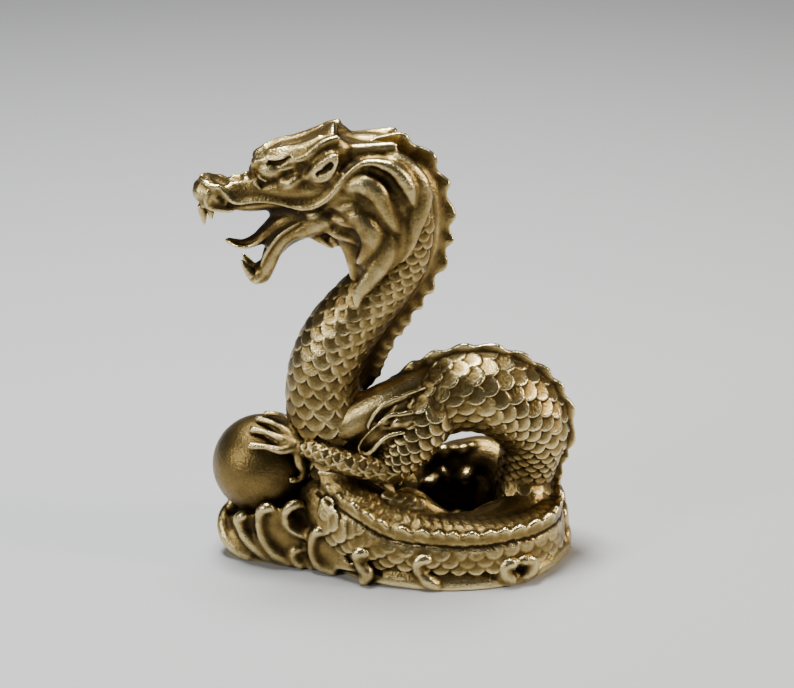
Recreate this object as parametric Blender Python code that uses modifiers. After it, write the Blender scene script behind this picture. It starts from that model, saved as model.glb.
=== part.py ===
"""A small cast brass dragon, seventy millimetres tall, on the wave-edged base it is cast with.

The dragon rears up from its own coil, with one hand on a pearl. The whole statuette is one casting, so
every form below is modelled as its own closed shape and all of them are then fused into one solid.
Run it with blender --background --python part.py, or from the text editor. Metres, +Z up, the dragon
looks along -X, and the origin is on the underside at the middle of the base.
"""

import math

import bmesh
import bpy
from mathutils import Vector

# Driving sizes, in metres.
STATUE_HEIGHT = 0.070  # underside to the peak of the brow plate
BASE_WIDTH = 0.0554
BASE_DEPTH = 0.031
BASE_THICKNESS = 0.0028
BASE_FLARE = 0.0016  # how far the foot of the base stands out past its top edge
PEARL_DIAMETER = 0.0156
FIN_THICKNESS = 0.0011
NECK_FIN_HEIGHT = 0.0030
NECK_FIN_LOBE = 0.0036
BODY_FIN_HEIGHT = 0.0019
BODY_FIN_LOBE = 0.0029
FINGER_RADIUS = 0.00065
WHISKER_RADIUS = 0.00055
WAVE_RADIUS = 0.0011
CLAY_GRAIN = 0.00036  # the voxel size that fuses the forms
CAST_TRIANGLES = 9600
FLOOR_TRIM = 0.0006  # the base is modelled this much too deep and then cut flat

# The figure keeps its proportions as shares of its own height above the base. One share is a millimetre here.
FIGURE_SHARES = 67.2
BASE_SHARES = 2.8
SHARE = (STATUE_HEIGHT - BASE_THICKNESS) / FIGURE_SHARES
HEAD_Y = -0.5  # the head, the neck and their fin stand in this plane, in shares

# The base's outline at its foot, in shares: narrow under the pearl at the left and wide under the coil.
BASE_OUTLINE = (
    (-27.5, 0.0),
    (-25.3, -4.6),
    (-20.6, -6.2),
    (-15.4, -7.0),
    (-10.0, -8.4),
    (-5.6, -12.2),
    (0.8, -14.6),
    (6.6, -15.6),
    (13.2, -15.1),
    (19.0, -13.2),
    (23.2, -9.6),
    (26.4, -4.6),
    (27.9, 0.4),
    (26.2, 6.0),
    (21.6, 11.2),
    (14.8, 14.4),
    (7.2, 15.4),
    (-0.6, 14.4),
    (-8.0, 11.4),
    (-14.8, 8.8),
    (-21.0, 7.2),
    (-25.6, 4.4),
)
OUTLINE_WIDTH = 55.4
OUTLINE_DEPTH = 31.0
BASE_EDGE_POINTS = 88
HIDDEN_SIDE = (0.56, 0.97)  # the share of the outline that runs behind the coil
HIDDEN_WAVES = 12

BRASS = (0.47, 0.36, 0.17, 1.0)


# Each knot is x, y, z and the radius of the body there, in shares, z from the underside of the base.
NECK = (
    (-6.5, HEAD_Y, 62.2, 3.7),
    (-2.8, HEAD_Y, 62.9, 4.0),
    (0.4, HEAD_Y, 60.8, 4.0),
    (2.0, HEAD_Y, 56.4, 4.0),
    (1.4, HEAD_Y, 50.9, 4.1),
    (-0.9, HEAD_Y, 46.4, 4.3),
    (-5.2, HEAD_Y, 41.2, 4.9),
    (-8.8, HEAD_Y, 36.1, 5.4),
    (-10.9, HEAD_Y, 30.4, 5.7),
    (-10.9, HEAD_Y, 24.4, 6.1),
    (-9.6, HEAD_Y, 17.6, 6.2),
    (-7.5, 0.5, 10.5, 5.8),
)
BODY = (
    (-5.8, -1.3, 18.8, 5.0),
    (-2.4, -1.8, 21.8, 5.7),
    (1.2, -2.2, 23.4, 5.5),
    (4.8, -1.9, 25.6, 5.7),
    (9.2, -1.2, 27.2, 6.1),
    (13.9, -0.6, 27.0, 6.4),
    (18.3, 0.2, 24.6, 6.2),
    (21.2, 1.0, 20.4, 5.5),
    (20.9, 1.6, 15.6, 4.6),
    (20.0, 1.2, 10.8, 4.3),
    (20.0, -1.2, 7.0, 4.8),
    (18.0, -4.4, 5.0, 5.1),
    (13.6, -7.7, 4.5, 5.2),
    (7.6, -9.4, 4.5, 5.2),
    (1.6, -9.2, 5.0, 5.2),
    (-3.6, -8.2, 6.2, 5.1),
    (-8.0, -6.4, 8.4, 5.0),
    (-10.8, -3.2, 10.4, 4.8),
    (-11.4, 1.4, 10.6, 4.5),
    (-9.0, 5.8, 8.6, 4.2),
    (-3.6, 8.8, 6.2, 3.9),
    (3.4, 10.0, 5.0, 3.5),
    (10.2, 9.6, 4.6, 2.9),
    (15.4, 8.0, 5.0, 2.0),
    (19.0, 7.4, 7.4, 0.9),
)
COIL_STARTS = 10  # the knot of BODY where it has come down and turns level
FIN_ENDS = 21  # and the knot of BODY where the fin fades out on the hidden side


def at(x, y, z):
    """A place on the figure, given in shares. It stands on the base, whatever the base's thickness."""
    return Vector((x * SHARE, y * SHARE, BASE_THICKNESS + (z - BASE_SHARES) * SHARE))


def clear_scene():
    for obj in list(bpy.data.objects):
        bpy.data.objects.remove(obj, do_unlink=True)


def collection(name):
    made = bpy.data.collections.new(name)
    bpy.context.scene.collection.children.link(made)
    return made


def form(name, mesh, forms):
    """One closed shape, kept with the others until they are fused."""
    obj = bpy.data.objects.new(name, mesh)
    forms.objects.link(obj)
    return obj


def strand(name, knots, forms, press=1.0, sides=2, steps=4):
    """A tapering round rod through knots of x, y, z and radius in shares. Press widens or flattens it along Y."""
    data = bpy.data.curves.new(name, "CURVE")
    data.dimensions = "3D"
    data.bevel_depth = 1.0
    data.bevel_resolution = sides
    data.resolution_u = steps
    data.use_fill_caps = True
    spline = data.splines.new("BEZIER")
    spline.bezier_points.add(len(knots) - 1)
    for point, (x, y, z, radius) in zip(spline.bezier_points, knots):
        point.co = at(x, y / press, z)
        point.radius = radius * SHARE
        point.handle_left_type = point.handle_right_type = "AUTO"
    rod = bpy.data.objects.new(name, data)
    forms.objects.link(rod)
    graph = bpy.context.evaluated_depsgraph_get()
    mesh = bpy.data.meshes.new_from_object(rod.evaluated_get(graph))
    bpy.data.objects.remove(rod)
    tidy = bmesh.new()
    tidy.from_mesh(mesh)
    bmesh.ops.remove_doubles(tidy, verts=tidy.verts, dist=1e-6)
    bmesh.ops.scale(tidy, vec=(1.0, press, 1.0), verts=tidy.verts)
    tidy.to_mesh(mesh)
    tidy.free()
    return form(name, mesh, forms)


def ball(name, centre, radii, forms, segments=16):
    """A round or oval lump. Centre is a point in metres, radii are in metres along X, Y and Z."""
    lump = bmesh.new()
    bmesh.ops.create_uvsphere(lump, u_segments=segments, v_segments=segments // 2, radius=1.0)
    bmesh.ops.scale(lump, vec=radii, verts=lump.verts)
    bmesh.ops.translate(lump, vec=centre, verts=lump.verts)
    mesh = bpy.data.meshes.new(name)
    lump.to_mesh(mesh)
    lump.free()
    return form(name, mesh, forms)


def both_sides(knots):
    """The same knots on the near side of the head's plane and mirrored to the far side."""
    far = [(x, 2 * HEAD_Y - y, z, radius) for x, y, z, radius in knots]
    return (("near", knots), ("far", far))


def smooth_run(knots, per_span):
    """Points on a Catmull-Rom curve through the knots, each with its knot number, position and radius."""
    padded = [knots[0], *knots, knots[-1]]
    run = []
    for span in range(len(knots) - 1):
        before, start, end, after = (Vector(k) for k in padded[span : span + 4])
        for step in range(per_span):
            t = step / per_span
            blended = 0.5 * (
                2 * start
                + (end - before) * t
                + (2 * before - 5 * start + 4 * end - after) * t * t
                + (3 * start - before - 3 * end + after) * t * t * t
            )
            run.append((span + t, at(*blended[:3]), blended[3] * SHARE))
    run.append((len(knots) - 1.0, at(*knots[-1][:3]), knots[-1][3] * SHARE))
    return run


def fin_direction(knot, tangent, coil_starts):
    """Outwards from the body: in the head's plane along the back, and leaning out and up along the coil."""
    over_back = tangent.cross(Vector((0, 1, 0)))
    sideways = Vector((0, 0, 1)).cross(tangent)
    over_coil = sideways * 0.75 + Vector((0, 0, 1))
    share = min(1.0, max(0.0, (knot - coil_starts) / 2.0 + 0.5))
    return (over_back.normalized() * (1 - share) + over_coil.normalized() * share).normalized()


def fin(name, knots, first, last, height, lobe_length, forms, coil_starts=99):
    """A thin fin along the body, cut into lobes whose tips point towards the tail."""
    run = smooth_run(knots, 12)
    travelled = 0.0
    strip = []
    for index in range(1, len(run) - 1):
        knot, place, radius = run[index]
        travelled += (place - run[index - 1][1]).length
        if not first <= knot <= last:
            continue
        tangent = (run[index + 1][1] - run[index - 1][1]).normalized()
        outwards = fin_direction(knot, tangent, coil_starts)
        fade = min(1.0, (knot - first) / 0.8 + 0.25, (last - knot) / 0.8 + 0.1)
        along = (travelled / lobe_length) % 1.0
        rise = height * fade * (0.55 + 0.45 * along**1.5)
        root = place + outwards * (radius - 1.2 * SHARE)
        edge = place + outwards * (radius + rise) + tangent * (0.18 * lobe_length * along)
        strip.append((root, edge))
    mesh = bpy.data.meshes.new(name)
    surface = bmesh.new()
    rows = [(surface.verts.new(root), surface.verts.new(edge)) for root, edge in strip]
    for (root, edge), (next_root, next_edge) in zip(rows, rows[1:]):
        surface.faces.new((root, next_root, next_edge, edge))
    bmesh.ops.recalc_face_normals(surface, faces=surface.faces)
    surface.to_mesh(mesh)
    surface.free()
    blade = form(name, mesh, forms)
    thick = blade.modifiers.new("thickness", "SOLIDIFY")
    thick.thickness = FIN_THICKNESS
    thick.offset = 0.0
    return blade


def body(forms):
    strand("neck", NECK, forms, sides=4)
    strand("coiled_body", BODY, forms, sides=4)
    fin("neck_fin", NECK, 1.0, 8.4, NECK_FIN_HEIGHT, NECK_FIN_LOBE, forms)
    fin("body_fin", BODY, 2.0, FIN_ENDS, BODY_FIN_HEIGHT, BODY_FIN_LOBE, forms, COIL_STARTS)


def skull(forms):
    snout = ((-29.5, HEAD_Y, 59.3, 2.3), (-26.8, HEAD_Y, 58.9, 2.5), (-23.2, HEAD_Y, 58.0, 2.0))
    jaw_roof = ((-19.5, HEAD_Y, 58.7, 2.1), (-14.5, HEAD_Y, 59.7, 2.9), (-8.5, HEAD_Y, 60.6, 4.0))
    strand("upper_jaw", snout + jaw_roof, forms, press=1.25, sides=3)
    crown = ((-20.0, HEAD_Y, 62.6, 2.0), (-16.6, HEAD_Y, 63.4, 3.0), (-11.0, HEAD_Y, 64.0, 3.7))
    strand("cranium", crown + ((-4.0, HEAD_Y, 63.0, 4.0),), forms, press=1.15, sides=3)
    for side, knots in both_sides(((-29.8, -2.0, 59.8, 1.3), (-28.0, -3.0, 59.4, 1.1))):
        strand("nostril_" + side, knots, forms)
    for side, knots in both_sides(((-13.6, -3.4, 57.2, 1.9), (-11.2, -3.7, 55.6, 2.0), (-9.6, -3.6, 55.8, 1.6))):
        strand("cheek_" + side, knots, forms)
    for side, knots in both_sides(((-15.9, -4.2, 61.4, 1.0), (-14.6, -4.5, 62.1, 1.2))):
        strand("cheekbone_" + side, knots, forms)
    for side, knots in both_sides(((-19.6, -3.0, 63.5, 1.3), (-17.6, -3.7, 63.9, 1.5), (-15.8, -4.0, 64.4, 1.0))):
        strand("eye_" + side, knots, forms)
    for side, knots in both_sides(((-22.2, -1.6, 61.2, 0.8), (-20.6, -2.6, 61.7, 0.9), (-19.2, -3.4, 61.6, 0.7))):
        strand("bridge_fold_" + side, knots, forms)


def brow_plate(forms):
    """The shield over the brow, a leaf of unlike sections that rises to the statuette's highest point."""
    sections = (  # x, middle z, half width, edge z
        (-21.8, 63.2, 1.2, 62.6),
        (-20.2, 65.2, 3.1, 64.2),
        (-17.2, 66.9, 4.1, 65.2),
        (-14.2, 67.5, 4.7, 65.5),
        (-11.8, 68.6, 4.9, 66.9),
        (-9.4, 70.3, 3.4, 68.8),
    )
    under = 1.5
    plate = bmesh.new()
    rings = []
    for x, middle, half, edge in sections:
        ring = (
            (HEAD_Y - half, edge),
            (HEAD_Y - half / 2, (middle + edge) / 2 + 0.3),
            (HEAD_Y, middle),
            (HEAD_Y + half / 2, (middle + edge) / 2 + 0.3),
            (HEAD_Y + half, edge),
            (HEAD_Y, edge - under),
        )
        rings.append([plate.verts.new(at(x, y, z)) for y, z in ring])
    for ring, following in zip(rings, rings[1:]):
        for i in range(len(ring)):
            j = (i + 1) % len(ring)
            plate.faces.new((ring[i], ring[j], following[j], following[i]))
    plate.faces.new(reversed(rings[0]))
    plate.faces.new(rings[-1])
    bmesh.ops.recalc_face_normals(plate, faces=plate.faces)
    mesh = bpy.data.meshes.new("brow_plate")
    plate.to_mesh(mesh)
    plate.free()
    form("brow_plate", mesh, forms)
    brow = ((-20.8, -3.2, 65.0, 0.5), (-18.4, -4.2, 65.6, 0.6), (-15.8, -4.9, 65.9, 0.6), (-13.6, -5.2, 66.0, 0.6))
    for side, knots in both_sides(brow + ((-11.4, -5.2, 67.6, 0.6), (-8.8, -4.6, 69.0, 0.5))):
        strand("brow_" + side, knots, forms)


def jaws(forms):
    rail = ((-9.8, -3.6, 55.6, 1.7), (-14.2, -3.3, 53.8, 1.4), (-17.6, -3.0, 51.4, 1.2), (-19.6, -2.5, 48.2, 1.3))
    for side, knots in both_sides(rail + ((-21.0, -1.4, 45.9, 1.4),)):
        strand("jaw_" + side, knots, forms)
    floor = ((-10.5, HEAD_Y, 54.4, 1.5), (-15.0, HEAD_Y, 52.4, 1.1), (-18.6, HEAD_Y, 49.0, 1.0))
    strand("jaw_floor", floor + ((-21.2, HEAD_Y, 45.8, 1.4),), forms, press=2.0)
    tongue = ((-12.0, HEAD_Y, 56.4, 2.0), (-17.0, HEAD_Y, 55.3, 1.7), (-19.6, HEAD_Y, 53.2, 1.2))
    tongue_tip = ((-21.6, HEAD_Y, 51.5, 0.85), (-23.6, HEAD_Y, 51.0, 0.65), (-25.7, HEAD_Y, 51.7, 0.35))
    strand("tongue", tongue + tongue_tip, forms, press=1.9)
    strand("tongue_root", ((-18.4, HEAD_Y, 53.2, 1.2), (-19.2, HEAD_Y, 49.0, 1.0)), forms, press=1.6)
    for side, knots in both_sides(((-28.9, -2.0, 58.0, 0.8), (-28.8, -2.2, 54.6, 0.35))):
        strand("upper_fang_" + side, knots, forms)
    for side, knots in both_sides(((-21.8, -2.0, 46.6, 0.9), (-23.4, -2.3, 49.2, 0.35))):
        strand("lower_fang_" + side, knots, forms)


def whiskers(forms):
    radius = WHISKER_RADIUS / SHARE
    lip = ((-25.9, -3.0, 60.4), (-24.2, -3.0, 58.8), (-22.0, -2.9, 58.5), (-18.6, -3.2, 58.8), (-15.4, -4.0, 58.4))
    cheek = ((-12.6, -4.8, 58.6), (-9.9, -5.4, 60.2), (-7.2, -5.8, 63.8), (-4.2, -5.9, 65.4))
    trail = ((-0.8, -5.6, 64.9), (1.6, -5.4, 62.4), (2.6, -5.2, 59.6))
    knots = [(x, y, z, radius) for x, y, z in lip + cheek] + [(x, y, z, 1.5 * radius) for x, y, z in trail]
    for side, line in both_sides(knots):
        strand("whisker_" + side, line, forms)


def crest(forms):
    """Horns, ears and the tuft below the jaw."""
    for side, knots in both_sides(((-10.6, -3.0, 65.9, 1.2), (-5.4, -3.9, 66.6, 1.1), (-0.4, -4.3, 66.9, 0.9))):
        strand("horn_" + side, knots, forms)
    for side, knots in both_sides(((-14.4, -4.6, 63.0, 0.5), (-11.8, -5.4, 64.6, 1.4), (-8.8, -6.6, 66.8, 0.6))):
        strand("ear_" + side, knots, forms, press=1.1)
    for side, knots in both_sides(((-11.0, -2.4, 54.4, 1.1), (-9.4, -2.6, 51.6, 0.4))):
        strand("chin_tuft_" + side, knots, forms)


def mane(forms):
    """Flame-shaped locks that sweep back from the cheek and down the neck, on the swelling they grow from."""
    swelling = ((-10.4, -3.0, 60.0, 2.8), (-6.0, -3.4, 60.2, 3.3), (-2.0, -3.2, 57.6, 3.4), (-2.2, -2.8, 52.4, 2.8))
    for side, knots in both_sides(swelling + ((-4.2, -2.4, 47.8, 2.2),)):
        strand("mane_swelling_" + side, knots, forms, sides=3)
    locks = {
        "crown_lock": ((-1.8, -4.4, 65.6, 1.3), (1.8, -4.6, 64.8, 1.5), (4.3, -4.4, 61.6, 1.4), (4.2, -4.4, 57.6, 1.3)),
        "nape_lock": ((3.6, -4.4, 57.8, 1.3), (2.9, -4.8, 54.0, 1.2), (0.6, -4.9, 50.0, 0.4)),
        "temple_lock": ((-8.4, -4.6, 61.2, 1.3), (-5.2, -5.8, 62.4, 1.6), (-2.4, -6.2, 60.6, 1.4), (-0.2, -5.8, 55.6, 0.4)),
        "cheek_lock": ((-9.6, -4.2, 57.4, 1.4), (-6.4, -5.8, 57.8, 1.8), (-3.6, -6.4, 55.4, 1.7), (-5.6, -5.6, 50.4, 0.5)),
        "long_lock": ((-2.8, -5.0, 56.4, 1.4), (-0.9, -5.4, 52.8, 1.6), (-3.0, -5.6, 48.6, 1.3), (-6.0, -5.2, 43.2, 0.4)),
        "throat_lock": ((-8.0, -3.2, 55.2, 1.6), (-5.6, -3.6, 51.6, 1.5), (-6.4, -3.0, 47.4, 0.7)),
        "neck_lock": ((0.4, -4.4, 57.0, 1.2), (0.6, -4.8, 53.0, 1.4), (-1.8, -5.0, 48.8, 0.6)),
        "jaw_lock": ((-10.8, -3.6, 55.8, 1.0), (-8.8, -4.8, 54.8, 1.1), (-7.0, -4.9, 53.6, 0.4)),
    }
    for name, lock in locks.items():
        for side, knots in both_sides(lock):
            strand(name + "_" + side, knots, forms)


PEARL = (-21.2, 0.5, 14.2)
WRIST = (-14.6, -5.2, 19.4)


def on_pearl(azimuth, elevation, lift):
    """Knot on the pearl's skin at these angles in degrees, lifted off it by a length in metres, as x, y, z in shares."""
    reach = (PEARL_DIAMETER / 2 + lift) / SHARE
    turn, tilt = math.radians(azimuth), math.radians(elevation)
    away = Vector((math.cos(turn) * math.cos(tilt), math.sin(turn) * math.cos(tilt), math.sin(tilt)))
    return Vector(PEARL) + away * reach


def pearl_and_hand(forms):
    half = PEARL_DIAMETER / 2
    ball("pearl", at(*PEARL), (half, half, half), forms, segments=28)
    radius = FINGER_RADIUS / SHARE
    fingers = {  # where each finger's middle joint and tip touch, as azimuth and elevation on the pearl
        "first_finger": ((-1, 59), (40, 76)),
        "second_finger": ((-40, 62), (-120, 80)),
        "third_finger": ((-63, 50), (-105, 62)),
        "fourth_finger": ((-73, 34), (-107, 42)),
        "thumb": ((-38, 5), (-52, -6)),
    }
    for name, (middle, tip) in fingers.items():
        knuckle = (*WRIST, 1.6 * radius)
        bent = (*on_pearl(*middle, FINGER_RADIUS * 0.7), 1.15 * radius)
        end = (*on_pearl(*tip, FINGER_RADIUS * 0.2), 0.8 * radius)
        strand(name, (knuckle, bent, end), forms)


def arms(forms):
    near = ((2.4, -4.6, 24.8, 3.0), (0.4, -7.0, 20.4, 2.6), (-1.0, -8.4, 17.0, 1.9), (-4.9, -8.8, 17.8, 1.7))
    strand("arm", near + ((-9.6, -8.4, 19.2, 1.6), (*WRIST, 1.3)), forms)
    strand("elbow_spur", ((-1.0, -8.4, 16.6, 1.2), (-0.6, -9.0, 13.8, 0.4)), forms)
    strand("elbow_spike", ((0.2, -7.6, 16.8, 1.1), (0.8, -8.2, 14.4, 0.4)), forms)
    far = ((2.4, 1.0, 24.4, 3.0), (0.8, 4.4, 20.0, 2.6), (-0.4, 6.4, 16.4, 2.0), (-4.8, 7.6, 15.4, 1.7))
    strand("far_arm", far + ((-9.4, 8.6, 12.6, 1.4),), forms)
    for spread in (-2.2, 0.0, 2.2):
        claw = ((-9.0, 8.4, 12.8, 0.9), (-11.6, 8.8 + spread * 0.7, 11.6, 0.7), (-13.2, 8.4 + spread, 9.2, 0.4))
        strand(f"far_claw_{spread:.0f}", claw, forms)
    upper = ((4.0, -6.0, 28.8, 0.5), (-0.8, -6.6, 28.2, 0.6), (-3.4, -6.9, 26.2, 0.6), (-4.2, -6.8, 23.2, 0.5))
    lower = ((3.0, -6.9, 26.6, 0.5), (-1.2, -7.3, 26.0, 0.6), (-4.0, -7.4, 23.4, 0.6), (-5.4, -7.2, 20.6, 0.6))
    strand("shoulder_flame_upper", upper, forms)
    strand("shoulder_flame_lower", lower + ((-3.2, -8.0, 20.8, 0.6), (0.6, -8.2, 23.4, 0.5)), forms)
    leaf = ((-11.2, -6.2, 14.6, 1.0), (-7.0, -6.8, 13.2, 1.9), (-1.0, -7.2, 11.2, 2.0), (4.0, -6.6, 9.8, 1.4))
    strand("flame_leaf", leaf + ((8.4, -6.0, 8.6, 0.3),), forms)


def rim_point(turn):
    """A point on the base's top edge, from its outline in shares. Turn runs from 0 to 1 round the outline."""
    count = len(BASE_OUTLINE)
    span = int(turn * count)
    t = turn * count - span
    before, start, end, after = (Vector(BASE_OUTLINE[(span + step) % count]) for step in (-1, 0, 1, 2))
    blended = 0.5 * (
        2 * start
        + (end - before) * t
        + (2 * before - 5 * start + 4 * end - after) * t * t
        + (3 * start - before - 3 * end + after) * t * t * t
    )
    return Vector((blended.x / OUTLINE_WIDTH * BASE_WIDTH, blended.y / OUTLINE_DEPTH * BASE_DEPTH, 0.0))


def slab(forms):
    """The flat base with its sides flared out towards the foot."""
    turns = [index / BASE_EDGE_POINTS for index in range(BASE_EDGE_POINTS)]
    foot, top = [], []
    for turn in turns:
        point = rim_point(turn)
        along = (rim_point((turn + 0.004) % 1.0) - rim_point((turn - 0.004) % 1.0)).normalized()
        inwards = Vector((0, 0, 1)).cross(along)
        foot.append(point + Vector((0, 0, -FLOOR_TRIM)))
        top.append(point + inwards * BASE_FLARE + Vector((0, 0, BASE_THICKNESS)))
    plate = bmesh.new()
    low = [plate.verts.new(place) for place in foot]
    high = [plate.verts.new(place) for place in top]
    for i in range(BASE_EDGE_POINTS):
        j = (i + 1) % BASE_EDGE_POINTS
        plate.faces.new((low[i], low[j], high[j], high[i]))
    plate.faces.new(low)
    plate.faces.new(high)
    bmesh.ops.recalc_face_normals(plate, faces=plate.faces)
    mesh = bpy.data.meshes.new("slab")
    plate.to_mesh(mesh)
    plate.free()
    form("slab", mesh, forms)


def breaking_wave(name, turn, rise, reach, forms):
    """A plain wave on the hidden side. It rises from the rim, leans along it and hooks back to a round tip."""
    foot = rim_point(turn % 1.0) * 0.93
    along = (rim_point((turn + 0.01) % 1.0) - rim_point((turn - 0.01) % 1.0)).normalized()
    profile = ((0.0, -0.1, 1.2), (0.6, 0.25, 1.1), (1.0, 0.6, 0.95), (0.85, 0.95, 0.9), (0.4, 0.98, 1.15))
    knots = []
    for lean, height, fat in profile:
        place = foot / SHARE + along * lean * reach
        knots.append((place.x, place.y, 1.2 + height * rise, fat * WAVE_RADIUS / SHARE))
    strand(name, knots, forms)


def beside_rim(knots):
    """Knots of a wave in shares of the outline, moved with the rim when the base is made wider or deeper."""
    wide = BASE_WIDTH / OUTLINE_WIDTH / SHARE
    deep = BASE_DEPTH / OUTLINE_DEPTH / SHARE
    return [(x * wide, y * deep, z, radius) for x, y, z, radius in knots]


def front_waves(forms):
    """The foam curls under the pearl and along the viewer's side of the base."""
    curls = {
        "outer_curl": ((-26.4, 1.5, 7.6, 0.7), (-27.3, -1.0, 5.2, 1.1), (-26.8, -2.8, 2.6, 1.2), (-24.4, -4.8, 0.6, 1.1)),
        "ball_curl": ((-24.0, -5.6, 8.0, 1.2), (-24.5, -5.4, 6.0, 1.0), (-23.1, -5.8, 3.2, 1.3), (-19.2, -6.2, 0.6, 1.2)),
        "hook_curl": ((-18.9, -6.8, 9.6, 1.0), (-20.9, -6.9, 9.2, 1.2), (-21.3, -6.7, 6.4, 1.0), (-17.2, -6.8, 0.8, 1.5)),
        "great_curl": ((-14.8, -7.2, 11.3, 1.0), (-17.3, -7.6, 9.9, 1.0), (-17.0, -7.6, 7.0, 1.0), (-14.2, -7.9, 5.6, 0.9)),
        "round_curl": ((-11.2, -9.3, 7.5, 1.4), (-13.2, -8.8, 5.6, 1.0), (-12.8, -8.2, 2.6, 1.2), (-11.0, -8.4, 0.6, 1.2)),
        "low_knob": ((-15.6, -7.1, 3.3, 1.0), (-14.4, -7.1, 0.8, 1.2)),
        "twin_knobs": ((-5.7, -12.7, 5.6, 1.3), (-6.3, -12.0, 4.0, 0.8), (-5.1, -12.7, 2.1, 1.4), (-5.0, -11.8, 0.4, 1.2)),
        "s_curl": ((4.2, -14.9, 5.0, 1.2), (2.8, -14.4, 3.5, 1.0), (3.1, -14.4, 1.7, 1.0), (5.4, -15.0, 0.7, 1.1)),
        "split_curl_left": ((18.4, -13.3, 4.4, 1.0), (17.1, -13.5, 2.6, 1.2), (18.4, -13.0, 0.6, 1.3)),
        "split_curl_right": ((20.2, -12.4, 4.7, 0.9), (21.5, -11.6, 3.2, 1.0), (20.8, -11.6, 0.7, 1.2)),
        "end_lump": ((24.8, 1.4, 5.6, 1.0), (26.4, -0.4, 3.0, 1.3), (26.0, -1.8, 0.6, 1.4)),
    }
    for name, knots in curls.items():
        strand(name, beside_rim(knots), forms)
    strand("pit_curl", ((13.2, -3.4, 6.0, 0.8), (15.4, -2.6, 7.2, 1.0), (17.2, -3.0, 5.6, 1.2)), forms)


def base(forms):
    """A flared slab edged all round with small breaking waves, and the swells the pearl and the coil rest on."""
    slab(forms)
    front_waves(forms)
    first_turn, last_turn = HIDDEN_SIDE
    for index in range(HIDDEN_WAVES):
        turn = first_turn + (last_turn - first_turn) * index / (HIDDEN_WAVES - 1)
        towards_pearl = 1.0 if index >= HIDDEN_WAVES // 2 else -1.0
        rise = 5.0 + 2.0 * (index % 2)
        breaking_wave(f"back_wave_{index}", turn, rise, towards_pearl * 2.6, forms)
    bed = ((-26.0, 0.2, 2.6, 2.6), (-21.6, 0.0, 3.8, 4.8), (-15.0, -0.4, 4.6, 4.8), (-8.0, 0.0, 4.0, 4.4))
    strand("pearl_bed", bed, forms, press=1.2, sides=3)
    swell = ((-2.0, 9.6, 4.0, 4.0), (3.2, 10.8, 5.0, 3.7), (9.8, 10.5, 8.6, 3.9), (14.8, 9.2, 9.6, 4.6))
    strand("back_swell", swell + ((19.0, 6.8, 7.6, 4.2),), forms, sides=3)


def brass():
    material = bpy.data.materials.new("old_brass")
    material.use_nodes = True
    shader = material.node_tree.nodes["Principled BSDF"]
    shader.inputs["Base Color"].default_value = BRASS
    shader.inputs["Metallic"].default_value = 1.0
    shader.inputs["Roughness"].default_value = 0.36
    return material


def cast(forms, statue):
    """Every form joined into one mesh, fused like clay, and brought down to the casting's triangles."""
    graph = bpy.context.evaluated_depsgraph_get()
    gathered = bmesh.new()
    for obj in list(forms.objects):
        gathered.from_mesh(bpy.data.meshes.new_from_object(obj.evaluated_get(graph)))
        bpy.data.objects.remove(obj)
    mesh = bpy.data.meshes.new("dragon_forms")
    gathered.to_mesh(mesh)
    gathered.free()
    clay = bpy.data.objects.new("dragon_clay", mesh)
    forms.objects.link(clay)
    fuse = clay.modifiers.new("fuse", "REMESH")
    fuse.mode = "VOXEL"
    fuse.voxel_size = CLAY_GRAIN
    fuse.use_smooth_shade = True
    graph = bpy.context.evaluated_depsgraph_get()
    fused = bpy.data.meshes.new_from_object(clay.evaluated_get(graph))
    bpy.data.objects.remove(clay)
    dragon = bpy.data.objects.new("dragon", fused)
    dragon.data.materials.append(brass())
    statue.objects.link(dragon)
    triangles = sum(len(face.vertices) - 2 for face in fused.polygons)
    thin = dragon.modifiers.new("fewer_faces", "DECIMATE")
    thin.ratio = min(1.0, CAST_TRIANGLES / triangles)
    return dragon


def trim_flat(dragon, cutters):
    """Cuts the underside flat at the floor."""
    under = bmesh.new()
    bmesh.ops.create_cube(under, size=1.0)
    bmesh.ops.scale(under, vec=(3 * STATUE_HEIGHT, 3 * STATUE_HEIGHT, STATUE_HEIGHT), verts=under.verts)
    bmesh.ops.translate(under, vec=(0, 0, -STATUE_HEIGHT / 2), verts=under.verts)
    mesh = bpy.data.meshes.new("floor_cut")
    under.to_mesh(mesh)
    under.free()
    cutter = bpy.data.objects.new("floor_cut", mesh)
    cutter.hide_render = True
    cutter.display_type = "WIRE"
    cutters.objects.link(cutter)
    cut = dragon.modifiers.new("flat_underside", "BOOLEAN")
    cut.operation = "DIFFERENCE"
    cut.object = cutter


def main():
    clear_scene()
    statue = collection("brass_dragon")
    forms = collection("forms")
    cutters = collection("cutters")
    body(forms)
    skull(forms)
    brow_plate(forms)
    jaws(forms)
    whiskers(forms)
    crest(forms)
    mane(forms)
    pearl_and_hand(forms)
    arms(forms)
    base(forms)
    dragon = cast(forms, statue)
    trim_flat(dragon, cutters)


main()
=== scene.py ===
# %% [markdown]
# # A cast brass dragon
#
# The object is a desk dragon, seventy millimetres tall, poured in brass in one piece with the pearl it guards
# and the wave-edged base it stands on. A sculptor would model it in wax over simple masses, press every scale
# and lock onto them, and then cast the whole. This lesson works the same way: simple forms first, then
# repeated details, and then a voxel remesh that fuses them into one skin as molten metal would.
#
# The first cell loads the measured solid that the finished piece has to match.

# %% Load the frame
import math
import random

import bmesh
import bpy
import numpy as np
from mathutils import Matrix, Vector
from mathutils.bvhtree import BVHTree


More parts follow.
